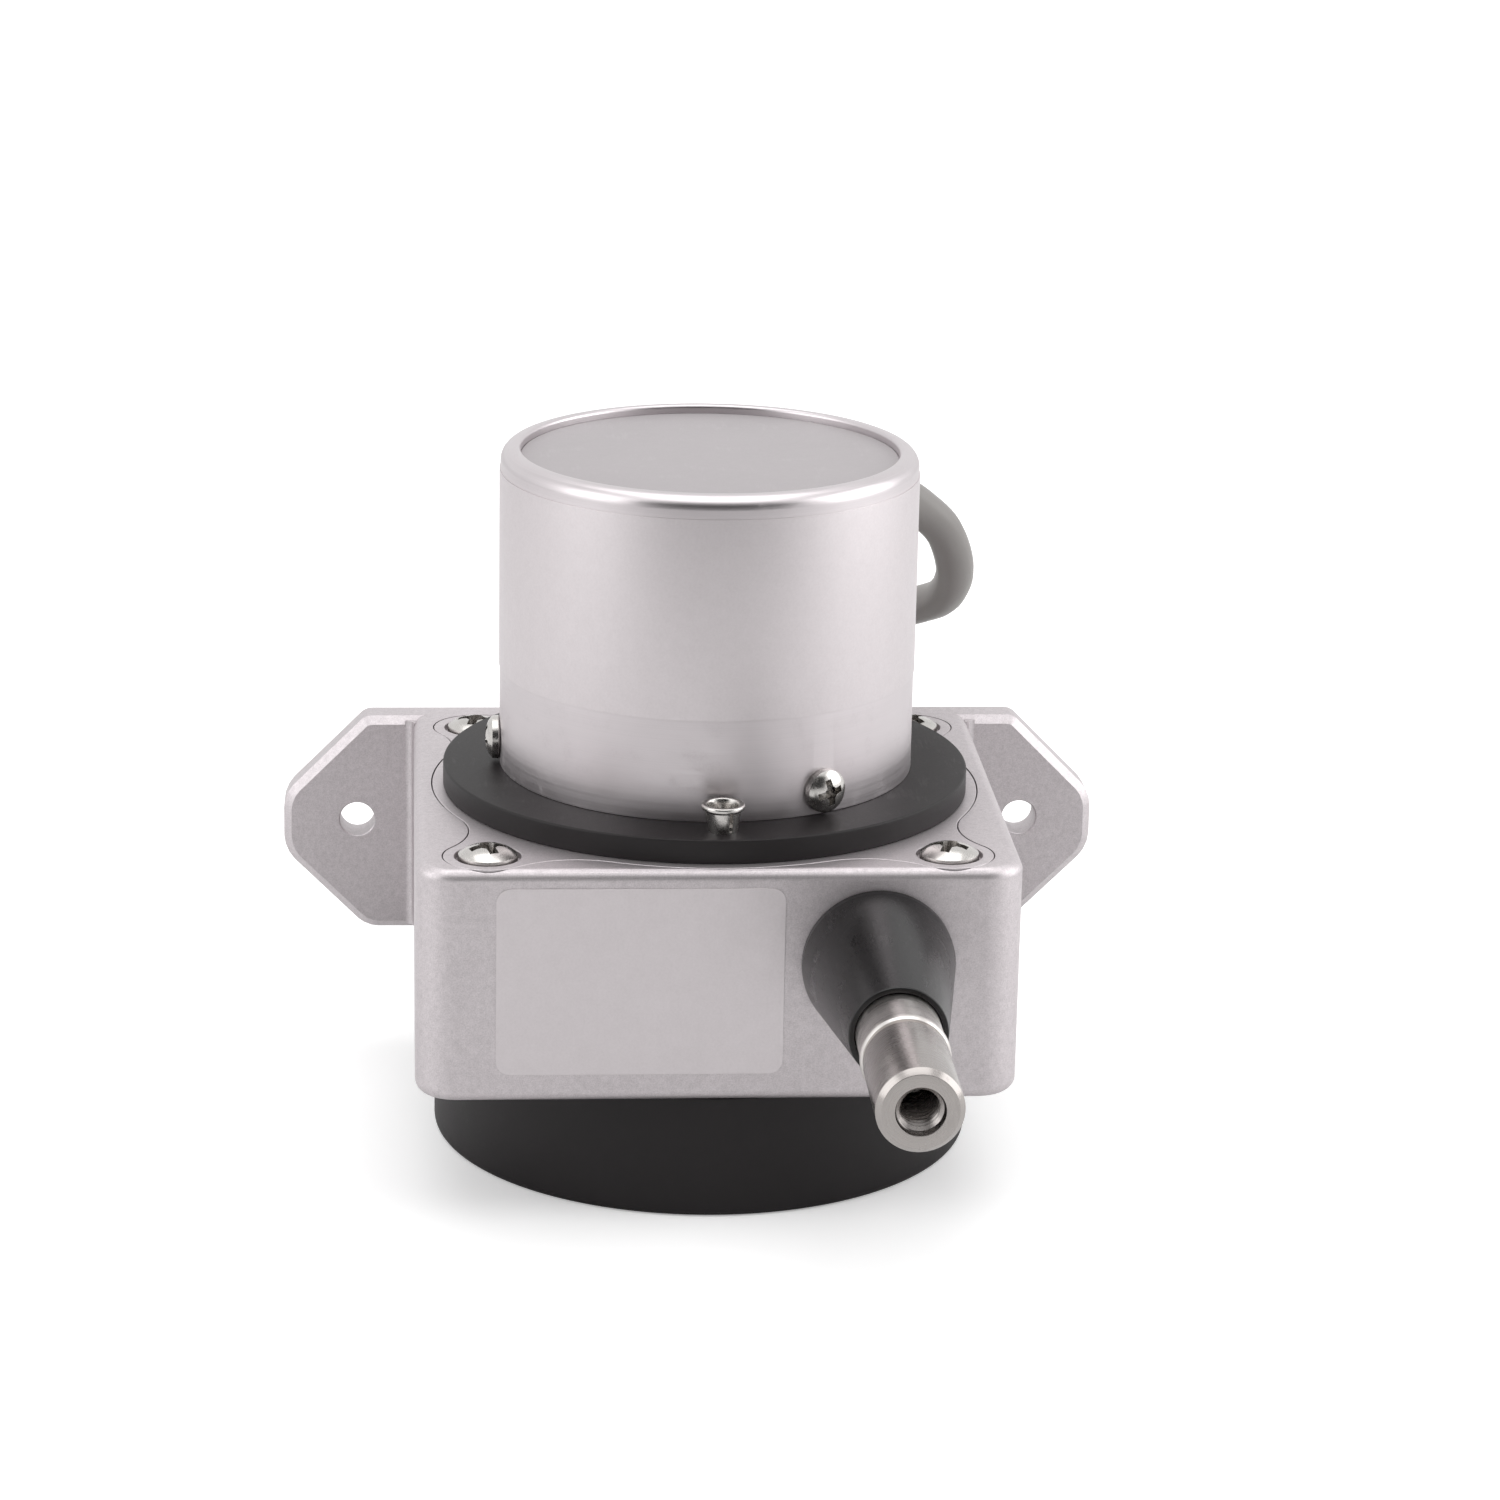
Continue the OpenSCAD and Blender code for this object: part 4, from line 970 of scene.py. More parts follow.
@dataclass
class SignalCable:
    """The cable from the can, down behind the body, into a tied coil, with three bare leads at its end.

    The route and the tail are in millimetres. lane_change is the share of a turn in which the coil steps to
    the next lane, and landing the share of the first turn in which the cable comes down to it. in_can is how
    deep the route's start lies under the can's outer face.
    """

    diameter: float = 5.5 * MM
    coil: Vector = field(default_factory=lambda: Vector((0.0, 77.0, 0.0)) * MM)
    coil_r: float = 32 * MM
    turns: float = 3.5
    lane_change: float = 1 / 6
    landing: float = 1 / 7
    in_can: float = 3.1 * MM
    lead_r: float = 0.7 * MM
    lead_height: float = 2.8
    route: tuple[tuple[float, float, float], ...] = (
        (18.4, 15.4, 86.8), (21.5, 18, 86.8), (24.4, 20.5, 86.2), (28.2, 23.8, 84.4), (31.9, 27, 81.4),
        (35.7, 29.8, 77.2), (37.9, 34, 70.7), (37.1, 39, 65.5), (34, 44, 62.6), (29, 47.8, 60.2),
        (22.5, 50, 56.2), (15, 50.8, 50), (6.5, 50, 41.5), (-3, 48.6, 32), (-12.5, 49, 23),
        (-21, 53.2, 16.8), (-27, 61, 14), (-29.4, 70, 13), (-29.4, 77, 11.4))
    tail: tuple[tuple[float, float, float], ...] = (
        (26.4, 66.5, 2.8), (20.6, 58.8, 2.8), (11.6, 54.6, 2.8), (1.5, 54.2, 2.8), (-8.4, 57.4, 2.8),
        (-15.4, 64.4, 2.8), (-17.4, 74, 2.8), (-14.4, 83.6, 2.8), (-6.6, 88.6, 2.8), (1.6, 87, 2.8))

    def lanes(self) -> list[tuple[float, float]]:
        """Radius and height of each turn, in the order in which the cable fills them."""
        half = self.diameter / 2
        inner, outer, low, high = self.coil_r - half, self.coil_r + half, half, 3 * half
        return [(inner, high), (outer, high), (outer, low), (inner, low)]

    def coil_line(self, steps: int = 72) -> list[Vector]:
        """The coil's turns, which run clockwise from the left side and step from lane to lane."""
        lanes = self.lanes()
        line = []
        for k in range(1, round(self.turns * steps) + 1):
            done = k / steps
            turn = min(int(done), len(lanes) - 1)
            start = 1 - (turn + 1) * self.lane_change
            share = min(1.0, max(0.0, (done - turn - start) / self.lane_change))
            share = share * share * (3 - 2 * share)
            here, following = lanes[turn], lanes[min(turn + 1, len(lanes) - 1)]
            radius = here[0] + (following[0] - here[0]) * share
            height = here[1] + (following[1] - here[1]) * share
            if turn == 0:
                settle = max(0.0, 1 - done / self.landing)
                height += settle * settle * (self.route[-1][2] * MM - lanes[0][1])
            angle = math.pi - math.tau * done
            line.append(self.coil + Vector((radius * math.cos(angle), radius * math.sin(angle), height)))
        return line

    def build(self) -> None:
        route = smooth_line([Vector(p) * MM for p in self.route], 6)
        tail = smooth_line([Vector(p) * MM for p in self.tail], 5)
        line = route + self.coil_line() + tail
        cable = tube("signal_cable", line, self.diameter / 2)
        place_piece(cable, Paint.CABLE_SHEATH, "case", "cable_sheath", "cable", "cable_coil", "cable_tail")
        leads = self._leads(tail[-1], (tail[-1] - tail[-2]).normalized())
        pieces = [*leads, self._tie(), self._grommet(route[0], (route[1] - route[0]).normalized())]
        log.info("cable is %.3f m long", length_of(line))
        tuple(route[0])
        round(length_of(line), 3)

    def _leads(self, end: Vector, ahead: Vector) -> list[bpy.types.Object]:
        """The brown, black and shield leads, which fan out from the sheath and droop to the table."""
        kinds = (("brown", Paint.LEAD_BROWN, -1), ("black", Paint.LEAD_BLACK, 1),
                 ("shield", Paint.LEAD_SHIELD, 0))
        side = ahead.cross(Vector((0, 0, 1)))
        made = []
        for kind, paint, way in kinds:
            def point(along: float, across: float, height: float) -> Vector:
                """A point on the lead, in millimetres from the sheath's end."""
                place = end + (ahead * along + side * way * across) * MM
                return Vector((place.x, place.y, height * MM))

            height = self.lead_height + (0.75 if way else -0.8)
            line = smooth_line([point(-2, 0.9, height), point(1, 1.1, height), point(5, 2.2, 2.2),
                                point(9, 4.4, 1.0), point(14, 7, 0.7)], 5)
            lead = tube(f"{kind}_conductor", line, self.lead_r)
            made.append(place_piece(lead, paint, "case", f"lead_{kind}", f"{kind}_lead"))
        return made

    def _tie(self) -> bpy.types.Object:
        """The nylon strap round the coil, with its locking head on top."""
        strap = 0.9 * MM
        box = Box.of("cable_tie")
        inside = 2 * self.diameter
        wide = inside + 2 * strap
        outer = Shape.prism(rounded_rectangle(wide, wide, 2.2 * MM), -2 * MM, 2 * MM)
        outer.cut(Shape.prism(rounded_rectangle(inside, inside, 1.6 * MM), -3 * MM, 3 * MM))
        across_coil = turned(90) @ turned(90, "X")
        outer.move(Matrix.Translation((box.centre.x, self.coil.y + self.coil_r, wide / 2)) @ across_coil)
        head = Shape.block(Vector((-2.6, -2.4, -1.4)) * MM, Vector((2.6, 2.4, 1.4)) * MM)
        head.bevel(0.5 * MM, 2, lambda edge: True)
        head.move(Matrix.Translation((box.centre.x, self.coil.y + self.coil_r, wide + 0.9 * MM)))
        return make_piece(outer.with_copy(head), "nylon_tie", Paint.TIE_NYLON, "tie_plastic", "cable_tie")

    def _grommet(self, start: Vector, ahead: Vector) -> bpy.types.Object:
        """The rubber sleeve in the can's wall, tapered and ribbed along the cable."""
        bore = self.diameter / 2 / MM
        knots = [(bore, -2, 0), (5.4, -2, 0.3), (5.4, -0.6, 0.2), (4.25, -0.6, 0), (4.25, 1.25, 0),
                 (5.2, 1.25, 0.2), (5.2, 2.2, 0.5), (4.3, 2.8, 0.3), (4.3, 3.3, 0.2), (4.7, 3.6, 0.2),
                 (4.6, 4.2, 0.3), (4.0, 4.6, 0.3), (3.6, 6.2, 0.4), (bore, 6.2, 0)]
        sleeve = Shape.lathe([(r * MM, h * MM + self.in_can, c * MM) for r, h, c in knots], 48)
        sleeve.move(Matrix.Translation(start) @ ahead.to_track_quat("Z", "Y").to_matrix().to_4x4())
        return make_piece(sleeve, "cable_gland", Paint.SEAL_RUBBER, "black_rubber", "cable_grommet")


# ---- Outlines ----


def rounded_rectangle(width: float, depth: float, corner: float) -> list[Knot]:
    """A rectangle about the origin with rounded corners."""
    x, y = width / 2, depth / 2
    return [(x, y, corner), (-x, y, corner), (-x, -y, corner), (x, -y, corner)]


def arc(centre: Vector, radius: float, start: float, end: float, steps: int) -> list[Knot]:
    """Points on an arc about a centre, from one angle to another."""
    angles = [start + (end - start) * k / steps for k in range(steps + 1)]
    return [(centre.x + radius * math.cos(a), centre.y + radius * math.sin(a), 0.0) for a in angles]


def bearing(way: Vector) -> float:
    """The angle of a flat direction."""
    return math.atan2(way.y, way.x)


@dataclass(frozen=True)
class LidOutline:
    """A round lid with a lobe for each of four screws, and a straight edge along the wall flange."""

    round_r: float = 37.5 * MM
    lobe_r: float = 5.9 * MM
    hollow_r: float = 12 * MM
    front: tuple[float, float] = (30.4 * MM, -32 * MM)
    rear: tuple[float, float] = (31.2 * MM, 26.5 * MM)

    def screws(self) -> list[Vector]:
        """Where the four screws go."""
        return [Vector((side * x, y, 0)) for x, y in (self.front, self.rear) for side in (-1, 1)]

    def _hollow(self, lobe: Vector, radius: float, big: float, small: float, side: int) -> Vector:
        """The centre of the hollow arc that joins the round part to one side of a lobe."""
        reach, near, far = lobe.length, big + radius, small + radius
        along = (near * near - far * far + reach * reach) / (2 * reach)
        across = math.sqrt(near * near - along * along)
        ahead = lobe.normalized()
        return ahead * along + Vector((-ahead.y, ahead.x, 0)) * side * across

    def knots(self, grow: float = 0.0) -> list[Knot]:
        """The outline, grown by a margin."""
        big, small, radius = self.round_r + grow, self.lobe_r + grow, self.hollow_r - grow
        front, back = Vector((*self.front, 0)), Vector((*self.rear, 0))
        near, far = self._hollow(front, radius, big, small, -1), self._hollow(front, radius, big, small, 1)
        rear = self._hollow(back, radius, big, small, -1)
        turn = math.tau

        def up_to(angle: float, limit: float) -> float:
            """The same angle, turned on until it is past a limit."""
            return angle + turn if angle < limit else angle

        half = (arc(Vector(), big, -turn / 4, bearing(near), 20)
                + arc(near, radius, up_to(bearing(-near), bearing(front - near)), bearing(front - near), 10)
                + arc(front, small, bearing(near - front),
                      up_to(bearing(far - front), bearing(near - front)), 28)
                + arc(far, radius, up_to(bearing(front - far), bearing(-far)), bearing(-far), 10)
                + arc(Vector(), big, bearing(far), bearing(rear), 24)
                + arc(rear, radius, up_to(bearing(-rear), bearing(back - rear)), bearing(back - rear), 10)
                + arc(back, small, bearing(rear - back), turn / 4, 20))
        return half + [(-x, y, 0.0) for x, y, _ in reversed(half)]


def cross_tool(width: float, depth: float) -> Shape:
    """The cross-shaped point that presses a screw head's recess, with the head's face at z = 0."""
    reach = Vector((width / 2, width / 8, depth))
    wings = [Shape.block(-reach, reach).narrow(-depth, 0.8).move(turned(quarter)) for quarter in (0, 90)]
    core = [(0, -depth * 1.2, 0), (width * 0.17, -depth, 0), (width * 0.23, 0, 0), (width * 0.29, depth, 0),
            (0, depth, 0)]
    return wings[0].add(wings[1]).add(Shape.lathe(core, 24))


@dataclass(frozen=True)
class PanScrew:
    """A domed pan head with a cross recess. The head's underside is at z = 0."""

    head_r: float
    head_h: float
    shank_r: float
    shank: float

    def shape(self) -> Shape:
        """Turns the screw and presses the recess into it."""
        r, h = self.head_r, self.head_h
        screw = Shape.lathe([(0, h, 0), (0.68 * r, h * 0.96, 1.2 * r), (r * 0.97, h * 0.5, 0.3 * r),
                             (r, 0.04 * h, 0.06 * r), (0.93 * r, 0, 0), (self.shank_r, 0, 0),
                             (self.shank_r, -self.shank, 0), (0, -self.shank, 0)], 64)
        recess = cross_tool(1.4 * r, h).move(Matrix.Translation((0, 0, h)))
        return screw.cut(recess)


# ---- Body ----


@dataclass
class CastBody:
    """The blasted die casting: a box with a full-width wall flange, a lid seat and the drum's chamber."""

    box: Box = box_of("housing")
    lid_box: Box = box_of("lid")
    width: float = 80 * MM
    corner: float = 5.3 * MM
    edge: float = 1.5 * MM
    foot: float = 1.8 * MM
    ear_t: float = 5.1 * MM
    ear_h: float = 32 * MM
    ear_cut: float = 11.8 * MM
    ear_lip: float = 1.1 * MM
    fillet: float = 1.2 * MM
    hole_r: float = 2.5 * MM
    hole_x: float = 48.15 * MM
    hole_drop: float = 15.3 * MM
    chamber_r: float = 31.5 * MM
    chamber_floor: float = 3.5 * MM
    boss_r: float = 14 * MM
    boss_top: float = 9.5 * MM
    bearing_r: float = 11 * MM
    bearing_low: float = 2.2 * MM
    shaft_way_r: float = 8.6 * MM
    lid_t: float = 3 * MM
    gasket_t: float = 0.5 * MM
    lid_gap: float = 0.15 * MM
    thread_r: float = 2 * MM
    thread_depth: float = 14 * MM
    outlet_r: float = 6.05 * MM
    outline: LidOutline = LidOutline()

    def build(self) -> None:
        """Casts the body and drills it."""
        body = self._block().add(self._flange())
        for side in (-1, 1):
            body.add(self._fillet(side))
        body.cut(self._lid_seat())
        body.cut(self._bores())
        body.cut(self._holes())
        make_piece(body, "cast_body", Paint.CAST_ALUMINIUM, "cast_aluminium", "housing", broken=0.13 * MM)

    def _block(self) -> Shape:
        """The box, with round upright corners and a round top edge."""
        low, high = self.box.low, self.box.high
        depth = high.y - low.y
        block = Shape.prism(rounded_rectangle(self.width, depth, self.corner), low.z, high.z)
        block.bevel(self.edge, 5, at_level(high.z))
        block.bevel(self.foot, 6, at_level(low.z))
        return block.move(Matrix.Translation((0, (high.y + low.y) / 2, 0)))

    def _flange(self) -> Shape:
        """The plate along the wall, whose two ears carry the mounting holes."""
        x, top, back = self.box.high.x, self.box.high.z, self.box.high.y
        low, cut = top - self.ear_h, self.ear_cut
        half = [(x - cut, low, 4 * MM), (x, low + cut, 5 * MM), (x, top - cut, 5 * MM),
                (x - cut, top, 2 * MM)]
        knots = half + [(-a, b, c) for a, b, c in reversed(half)]
        plate = Shape.prism(knots, -back, self.ear_t - back)
        plate.bevel(self.ear_lip, 1, at_level(self.ear_t - back))
        return plate.move(turned(90, "X"))

    def _fillet(self, side: int) -> Shape:
        """The hollow rounding where an ear meets the body's side."""
        x, y, r = self.width / 2, self.box.high.y - self.ear_t, self.fillet
        bed = 0.3 * MM
        hollow = arc(Vector((x + r, y - r, 0)), r, math.pi / 2, math.pi, 8)
        knots = [(x - bed, y - r, 0), (x - bed, y + bed, 0), (x + r, y + bed, 0)] + hollow
        top = self.box.high.z
        low, high = top - self.ear_h + 0.6 * self.ear_lip, top - 0.45 * self.ear_lip
        return Shape.prism([(side * a, b, c) for a, b, c in knots], low, high)

    def _lid_seat(self) -> Shape:
        """The pocket for the lid and its gasket."""
        floor = self.lid_box.high.z - self.lid_t - self.gasket_t
        return Shape.prism(self.outline.knots(self.lid_gap), floor, self.box.high.z + MM)

    def _bores(self) -> Shape:
        """The chamber round the bearing boss, the bearing's seat and the way through to the spring."""
        low, top = self.box.low.z, self.box.high.z
        bearing, boss, chamber = low + self.bearing_low, low + self.boss_top, low + self.chamber_floor
        return Shape.lathe([(0, low - MM, 0), (self.shaft_way_r, low - MM, 0), (self.shaft_way_r, bearing, 0),
                            (self.bearing_r, bearing, 0), (self.bearing_r, boss, 0),
                            (self.boss_r, boss, 0.4 * MM), (self.boss_r, chamber, 0),
                            (self.chamber_r, chamber, 0), (self.chamber_r, top, 0), (0, top, 0)], 96)

    def _holes(self) -> Shape:
        """Every drilled hole: the mounting holes, the lid screws' threads and the wire's outlet."""
        back, z = self.box.high.y, self.box.high.z - self.hole_drop
        face, wide = self.ear_t, self.hole_r + 0.2 * MM
        drill = [(0, -MM, 0), (self.hole_r, -MM, 0), (self.hole_r, face - 0.15 * MM, 0),
                 (wide, face + 0.05 * MM, 0), (wide, face + 2 * MM, 0), (0, face + 2 * MM, 0)]
        holes = spread(lambda: Shape.lathe(drill, 64),
                       [facing_front(Vector((side * self.hole_x, back, z))) for side in (-1, 1)])
        seat = self.lid_box.high.z - self.lid_t
        holes.with_copy(spread(lambda: Shape.rod(self.thread_r, seat - self.thread_depth, seat),
                               [Matrix.Translation(place) for place in self.outline.screws()]))
        wire = Box.of("wire")
        outlet = Vector((wire.centre.x, self.box.low.y, wire.centre.z))
        return holes.with_copy(Shape.rod(self.outlet_r, -5 * MM, MM).move(facing_front(outlet)))


@dataclass
class Lid:
    """The plate over the drum and its four screws."""

    box: Box = box_of("lid")
    outline: LidOutline = LidOutline()
    thickness: float = 3 * MM
    seat_r: float = 4.4 * MM
    seat_depth: float = 0.9 * MM
    hole_r: float = 2.2 * MM
    hub_r: float = 13 * MM
    bearing_r: float = 8 * MM
    shaft_way_r: float = 6.6 * MM
    turns: tuple[float, ...] = (20, 68, -15, 40)

    def build(self) -> None:
        """Makes the lid and the screws."""
        low, top = self.box.low.z, self.box.high.z
        lid = Shape.prism(self.outline.knots(), top - self.thickness, top)
        lid.add(Shape.rod(self.hub_r, low, top - self.thickness / 2, 96))
        lid.cut(Shape.rod(self.bearing_r, low + 0.6 * MM, top + MM, 96))
        lid.cut(Shape.rod(self.shaft_way_r, low - MM, top, 96))
        places = [Matrix.Translation(place) for place in self.outline.screws()]
        floor, through = top - self.seat_depth, 5 * MM
        seat = [(0, floor - through, 0), (self.hole_r, floor - through, 0), (self.hole_r, floor, 0),
                (self.seat_r, floor, 0), (self.seat_r, top + MM, 0), (0, top + MM, 0)]
        lid.cut(spread(lambda: Shape.lathe(seat, 48), places))
        make_piece(lid, "cast_lid", Paint.CAST_ALUMINIUM, "cast_aluminium", "lid", broken=0.13 * MM)
        self._screws(floor)

    def _screws(self, floor: float) -> None:
        """The four pan heads, each stopped at its own turn."""
        screw = PanScrew(head_r=4 * MM, head_h=2.4 * MM, shank_r=2 * MM, shank=12 * MM)
        places = [Matrix.Translation((place.x, place.y, floor)) @ turned(turn)
                  for place, turn in zip(self.outline.screws(), self.turns)]
        make_piece(spread(screw.shape, places), "lid_pan_heads", Paint.NICKEL_STEEL, "nickel_steel",
                   "lid_screws", broken=0.06 * MM)


@dataclass
class BodyLabel:
    """The bare film label on the front of the body."""

    box: Box = box_of("front_label")
    corner: float = 1.9 * MM

    def build(self) -> None:
        """Cuts the film and sticks it on."""
        size, centre = self.box.size, self.box.centre
        film = Shape.prism(rounded_rectangle(size.x, size.z, self.corner), 0, size.y)
        film.move(facing_front(Vector((centre.x, self.box.high.y, centre.z))))
        make_piece(film, "body_film", Paint.LABEL_FOIL, "label_foil", "front_label", broken=0.04 * MM)


# ---- Sensor stage ----


@dataclass
class SensorStage:
    """The black flange on the lid and the aluminium can that covers the potentiometer."""

    flange: Box = box_of("sensor_flange")
    can: Box = box_of("sensor_can")
    label: Box = box_of("can_label")
    cap: Box = box_of("can_cap")
    pin: Box = box_of("lock_screw")
    flange_t: float = 3.3 * MM
    wall: float = 1.2 * MM
    rim: float = 1.9 * MM
    cap_r: float = 25.6 * MM
    eye_r: float = 11 * MM
    spigot_inner_r: float = 23.4 * MM
    screw_hole_r: float = 1.6 * MM
    cable_hole_r: float = 4.3 * MM
    film_hole_r: float = 5.6 * MM
    screw_turn: float = 30.0
    screw_rise: float = 3.3 * MM
    recess: float = 1.5 * MM
    cable_turn: float = 50.0
    cable_z: float = 86.8 * MM

    def build(self) -> None:
        """Makes every piece of the stage."""
        self._flange()
        self._can()
        self._label()
        self._cap()
        self._screws()
        self._pin()

    @staticmethod
    def _outwards(turn: float, radius: float, height: float) -> Matrix:
        """A placement that turns +Z outwards, at an angle from the front towards +X."""
        return turned(turn - 90) @ Matrix.Translation((radius, 0, height)) @ turned(90, "Y")

    def _can_screw_places(self, radius: float) -> list[Matrix]:
        """Where the three screws pass through the can's wall."""
        return [self._outwards(self.screw_turn + k * 120, radius, self.can.low.z + self.screw_rise)
                for k in range(3)]

    def _cable_hole(self, hole_r: float, radius: float) -> Shape:
        """The drill for the cable, through a wall at a radius."""
        drill = Shape.rod(hole_r, -2 * MM, 3 * MM)
        return drill.move(self._outwards(180 - self.cable_turn, radius, self.cable_z))

    def _flange(self) -> None:
        """The black disc with the spigot that centres the can."""
        r, low, high = self.flange.high.x, self.flange.low.z, self.flange.high.z
        top, spigot = low + self.flange_t, self.can.high.x - self.wall - 0.05 * MM
        disc = Shape.lathe([(self.eye_r, low, 0), (r, low, 0.25 * MM), (r, top, 0.3 * MM), (spigot, top, 0),
                            (spigot, high, 0.2 * MM), (self.spigot_inner_r, high, 0.2 * MM),
                            (self.spigot_inner_r, top, 0), (self.eye_r, top, 0)], 192)
        make_piece(disc, "flange_disc", Paint.FLANGE_PLASTIC, "black_plastic", "sensor_flange")

    def _can(self) -> None:
        """The can: a deep cup turned upside down, with a round rim and a sunk face."""
        r, low, top = self.can.high.x, self.can.low.z, self.can.high.z
        sunk, inner, ceiling = top - self.recess, r - self.wall, top - 2.6 * MM
        can = Shape.lathe([(0, ceiling, 0), (inner, ceiling, 0.4 * MM), (inner, low, 0),
                           (r, low, 0.12 * MM), (r, top, self.rim), (self.cap_r, top, 0.5 * MM),
                           (self.cap_r, sunk, 0), (0, sunk, 0)], 192)
        can.cut(spread(lambda: Shape.rod(self.screw_hole_r, -2 * MM, 2 * MM, 24), self._can_screw_places(r)))
        can.cut(self._cable_hole(self.cable_hole_r, inner))
        make_piece(can, "drawn_can", Paint.CAN_ALUMINIUM, "satin_aluminium", "sensor_can")

    def _label(self) -> None:
        """The bare silver film round the can, punched for the cable."""
        low, high = self.label.low.z, self.label.high.z
        r_in, r_out, worn = self.can.high.x - 0.05 * MM, self.label.high.x, 0.03 * MM
        film = Shape.lathe([(r_in, low, 0), (r_out, low, worn), (r_out, high, worn), (r_in, high, 0)], 192)
        film.cut(self._cable_hole(self.film_hole_r, r_in))
        make_piece(film, "can_film", Paint.LABEL_FOIL, "label_foil", "can_label")

    def _cap(self) -> None:
        """The plain disc stuck in the sunk face."""
        r, low, high = self.cap.high.x, self.cap.low.z, self.cap.high.z
        disc = Shape.lathe([(0, high, 0), (r, high, 0.06 * MM), (r, low, 0), (0, low, 0)], 128)
        make_piece(disc, "cap_disc", Paint.CAP_FILM, "grey_foil", "can_cap")

    def _screws(self) -> None:
        """The three small pan heads low on the can, each stopped at its own turn."""
        screw = PanScrew(head_r=3 * MM, head_h=2 * MM, shank_r=1.5 * MM, shank=4.5 * MM)
        places = [place @ turned(12 + 31 * k)
                  for k, place in enumerate(self._can_screw_places(self.can.high.x))]
        make_piece(spread(screw.shape, places), "can_pan_heads", Paint.NICKEL_STEEL, "nickel_steel",
                   "can_screws", broken=0.05 * MM)

    def _pin(self) -> None:
        """The split clamp pin before the can, with its rolled rim and its slit, drawn in millimetres."""
        foot = self.flange.low.z + self.flange_t
        sleeve = Shape.lathe([(0, -2.4, 0), (1.5, -2.4, 0), (1.5, 0, 0), (1.9, 0, 0), (2.45, 2.9, 0.2),
                              (2.9, 3.15, 0.25), (2.9, 3.8, 0.33), (2.2, 3.8, 0.3), (2.05, 3.1, 0.2),
                              (1.7, 0.6, 0), (0, 0.6, 0)], 48)
        sleeve.cut(Shape.block(Vector((0.75, -3, 0.3)), Vector((1.15, -0.6, 3))))
        sleeve.move(Matrix.Translation((self.pin.centre.x, self.pin.centre.y, foot)) @ Matrix.Scale(MM, 4))
        make_piece(sleeve, "clamp_pin", Paint.NICKEL_STEEL, "nickel_steel", "lock_screw", broken=0.05 * MM)


# ---- Spring cup ----


@dataclass
class SpringCup:
    """The black moulded cup under the body, held by four countersunk screws from below."""

    box: Box = box_of("spring_cup")
    wall: float = 2.2 * MM
    edge: float = 1 * MM
    post_r: float = 3.9 * MM
    screw_at: float = 31.4 * MM

    def build(self) -> None:
        """Moulds the cup and drives its screws."""
        r, low, high = self.box.high.x, self.box.low.z, self.box.high.z
        inner = r - self.wall
        cup = Shape.lathe([(0, low, 0), (r, low, self.edge), (r, high, 0.3 * MM), (inner, high, 0),
                           (inner, low + self.wall, 0.6 * MM), (0, low + self.wall, 0)], 192)
        places = [turned(45 + 90 * k) @ Matrix.Translation((self.screw_at, 0, 0)) for k in range(4)]
        cup.add(spread(lambda: Shape.rod(self.post_r, self.wall / 2, high - MM), places))
        seat = [(0, -MM, 0), (3.3 * MM, -MM, 0), (3.3 * MM, 0, 0), (1.6 * MM, 1.8 * MM, 0),
                (1.6 * MM, high, 0), (0, high, 0)]
        cup.cut(spread(lambda: Shape.lathe(seat, 32), places))
        make_piece(cup, "spring_cover", Paint.CUP_PLASTIC, "cup_plastic", "spring_cup")
        self._screws(places)

    def _screws(self, places: Sequence[Matrix]) -> None:
        """The countersunk screws, seen from below."""
        top = Box.of("cup_screws").high.z

        def screw() -> Shape:
            """One screw with its flat head down."""
            made = Shape.lathe([(0, 0.1 * MM, 0), (3 * MM, 0.1 * MM, 0.1 * MM), (1.5 * MM, 1.7 * MM, 0),
                                (1.5 * MM, top, 0), (0, top, 0)], 48)
            return made.cut(cross_tool(3.4 * MM, 1.1 * MM).move(turned(180, "X")))

        make_piece(spread(screw, places), "cup_countersunk_heads", Paint.NICKEL_STEEL, "nickel_steel",
                   "cup_screws", broken=0.05 * MM)


# ---- Boot, wire and end fitting ----


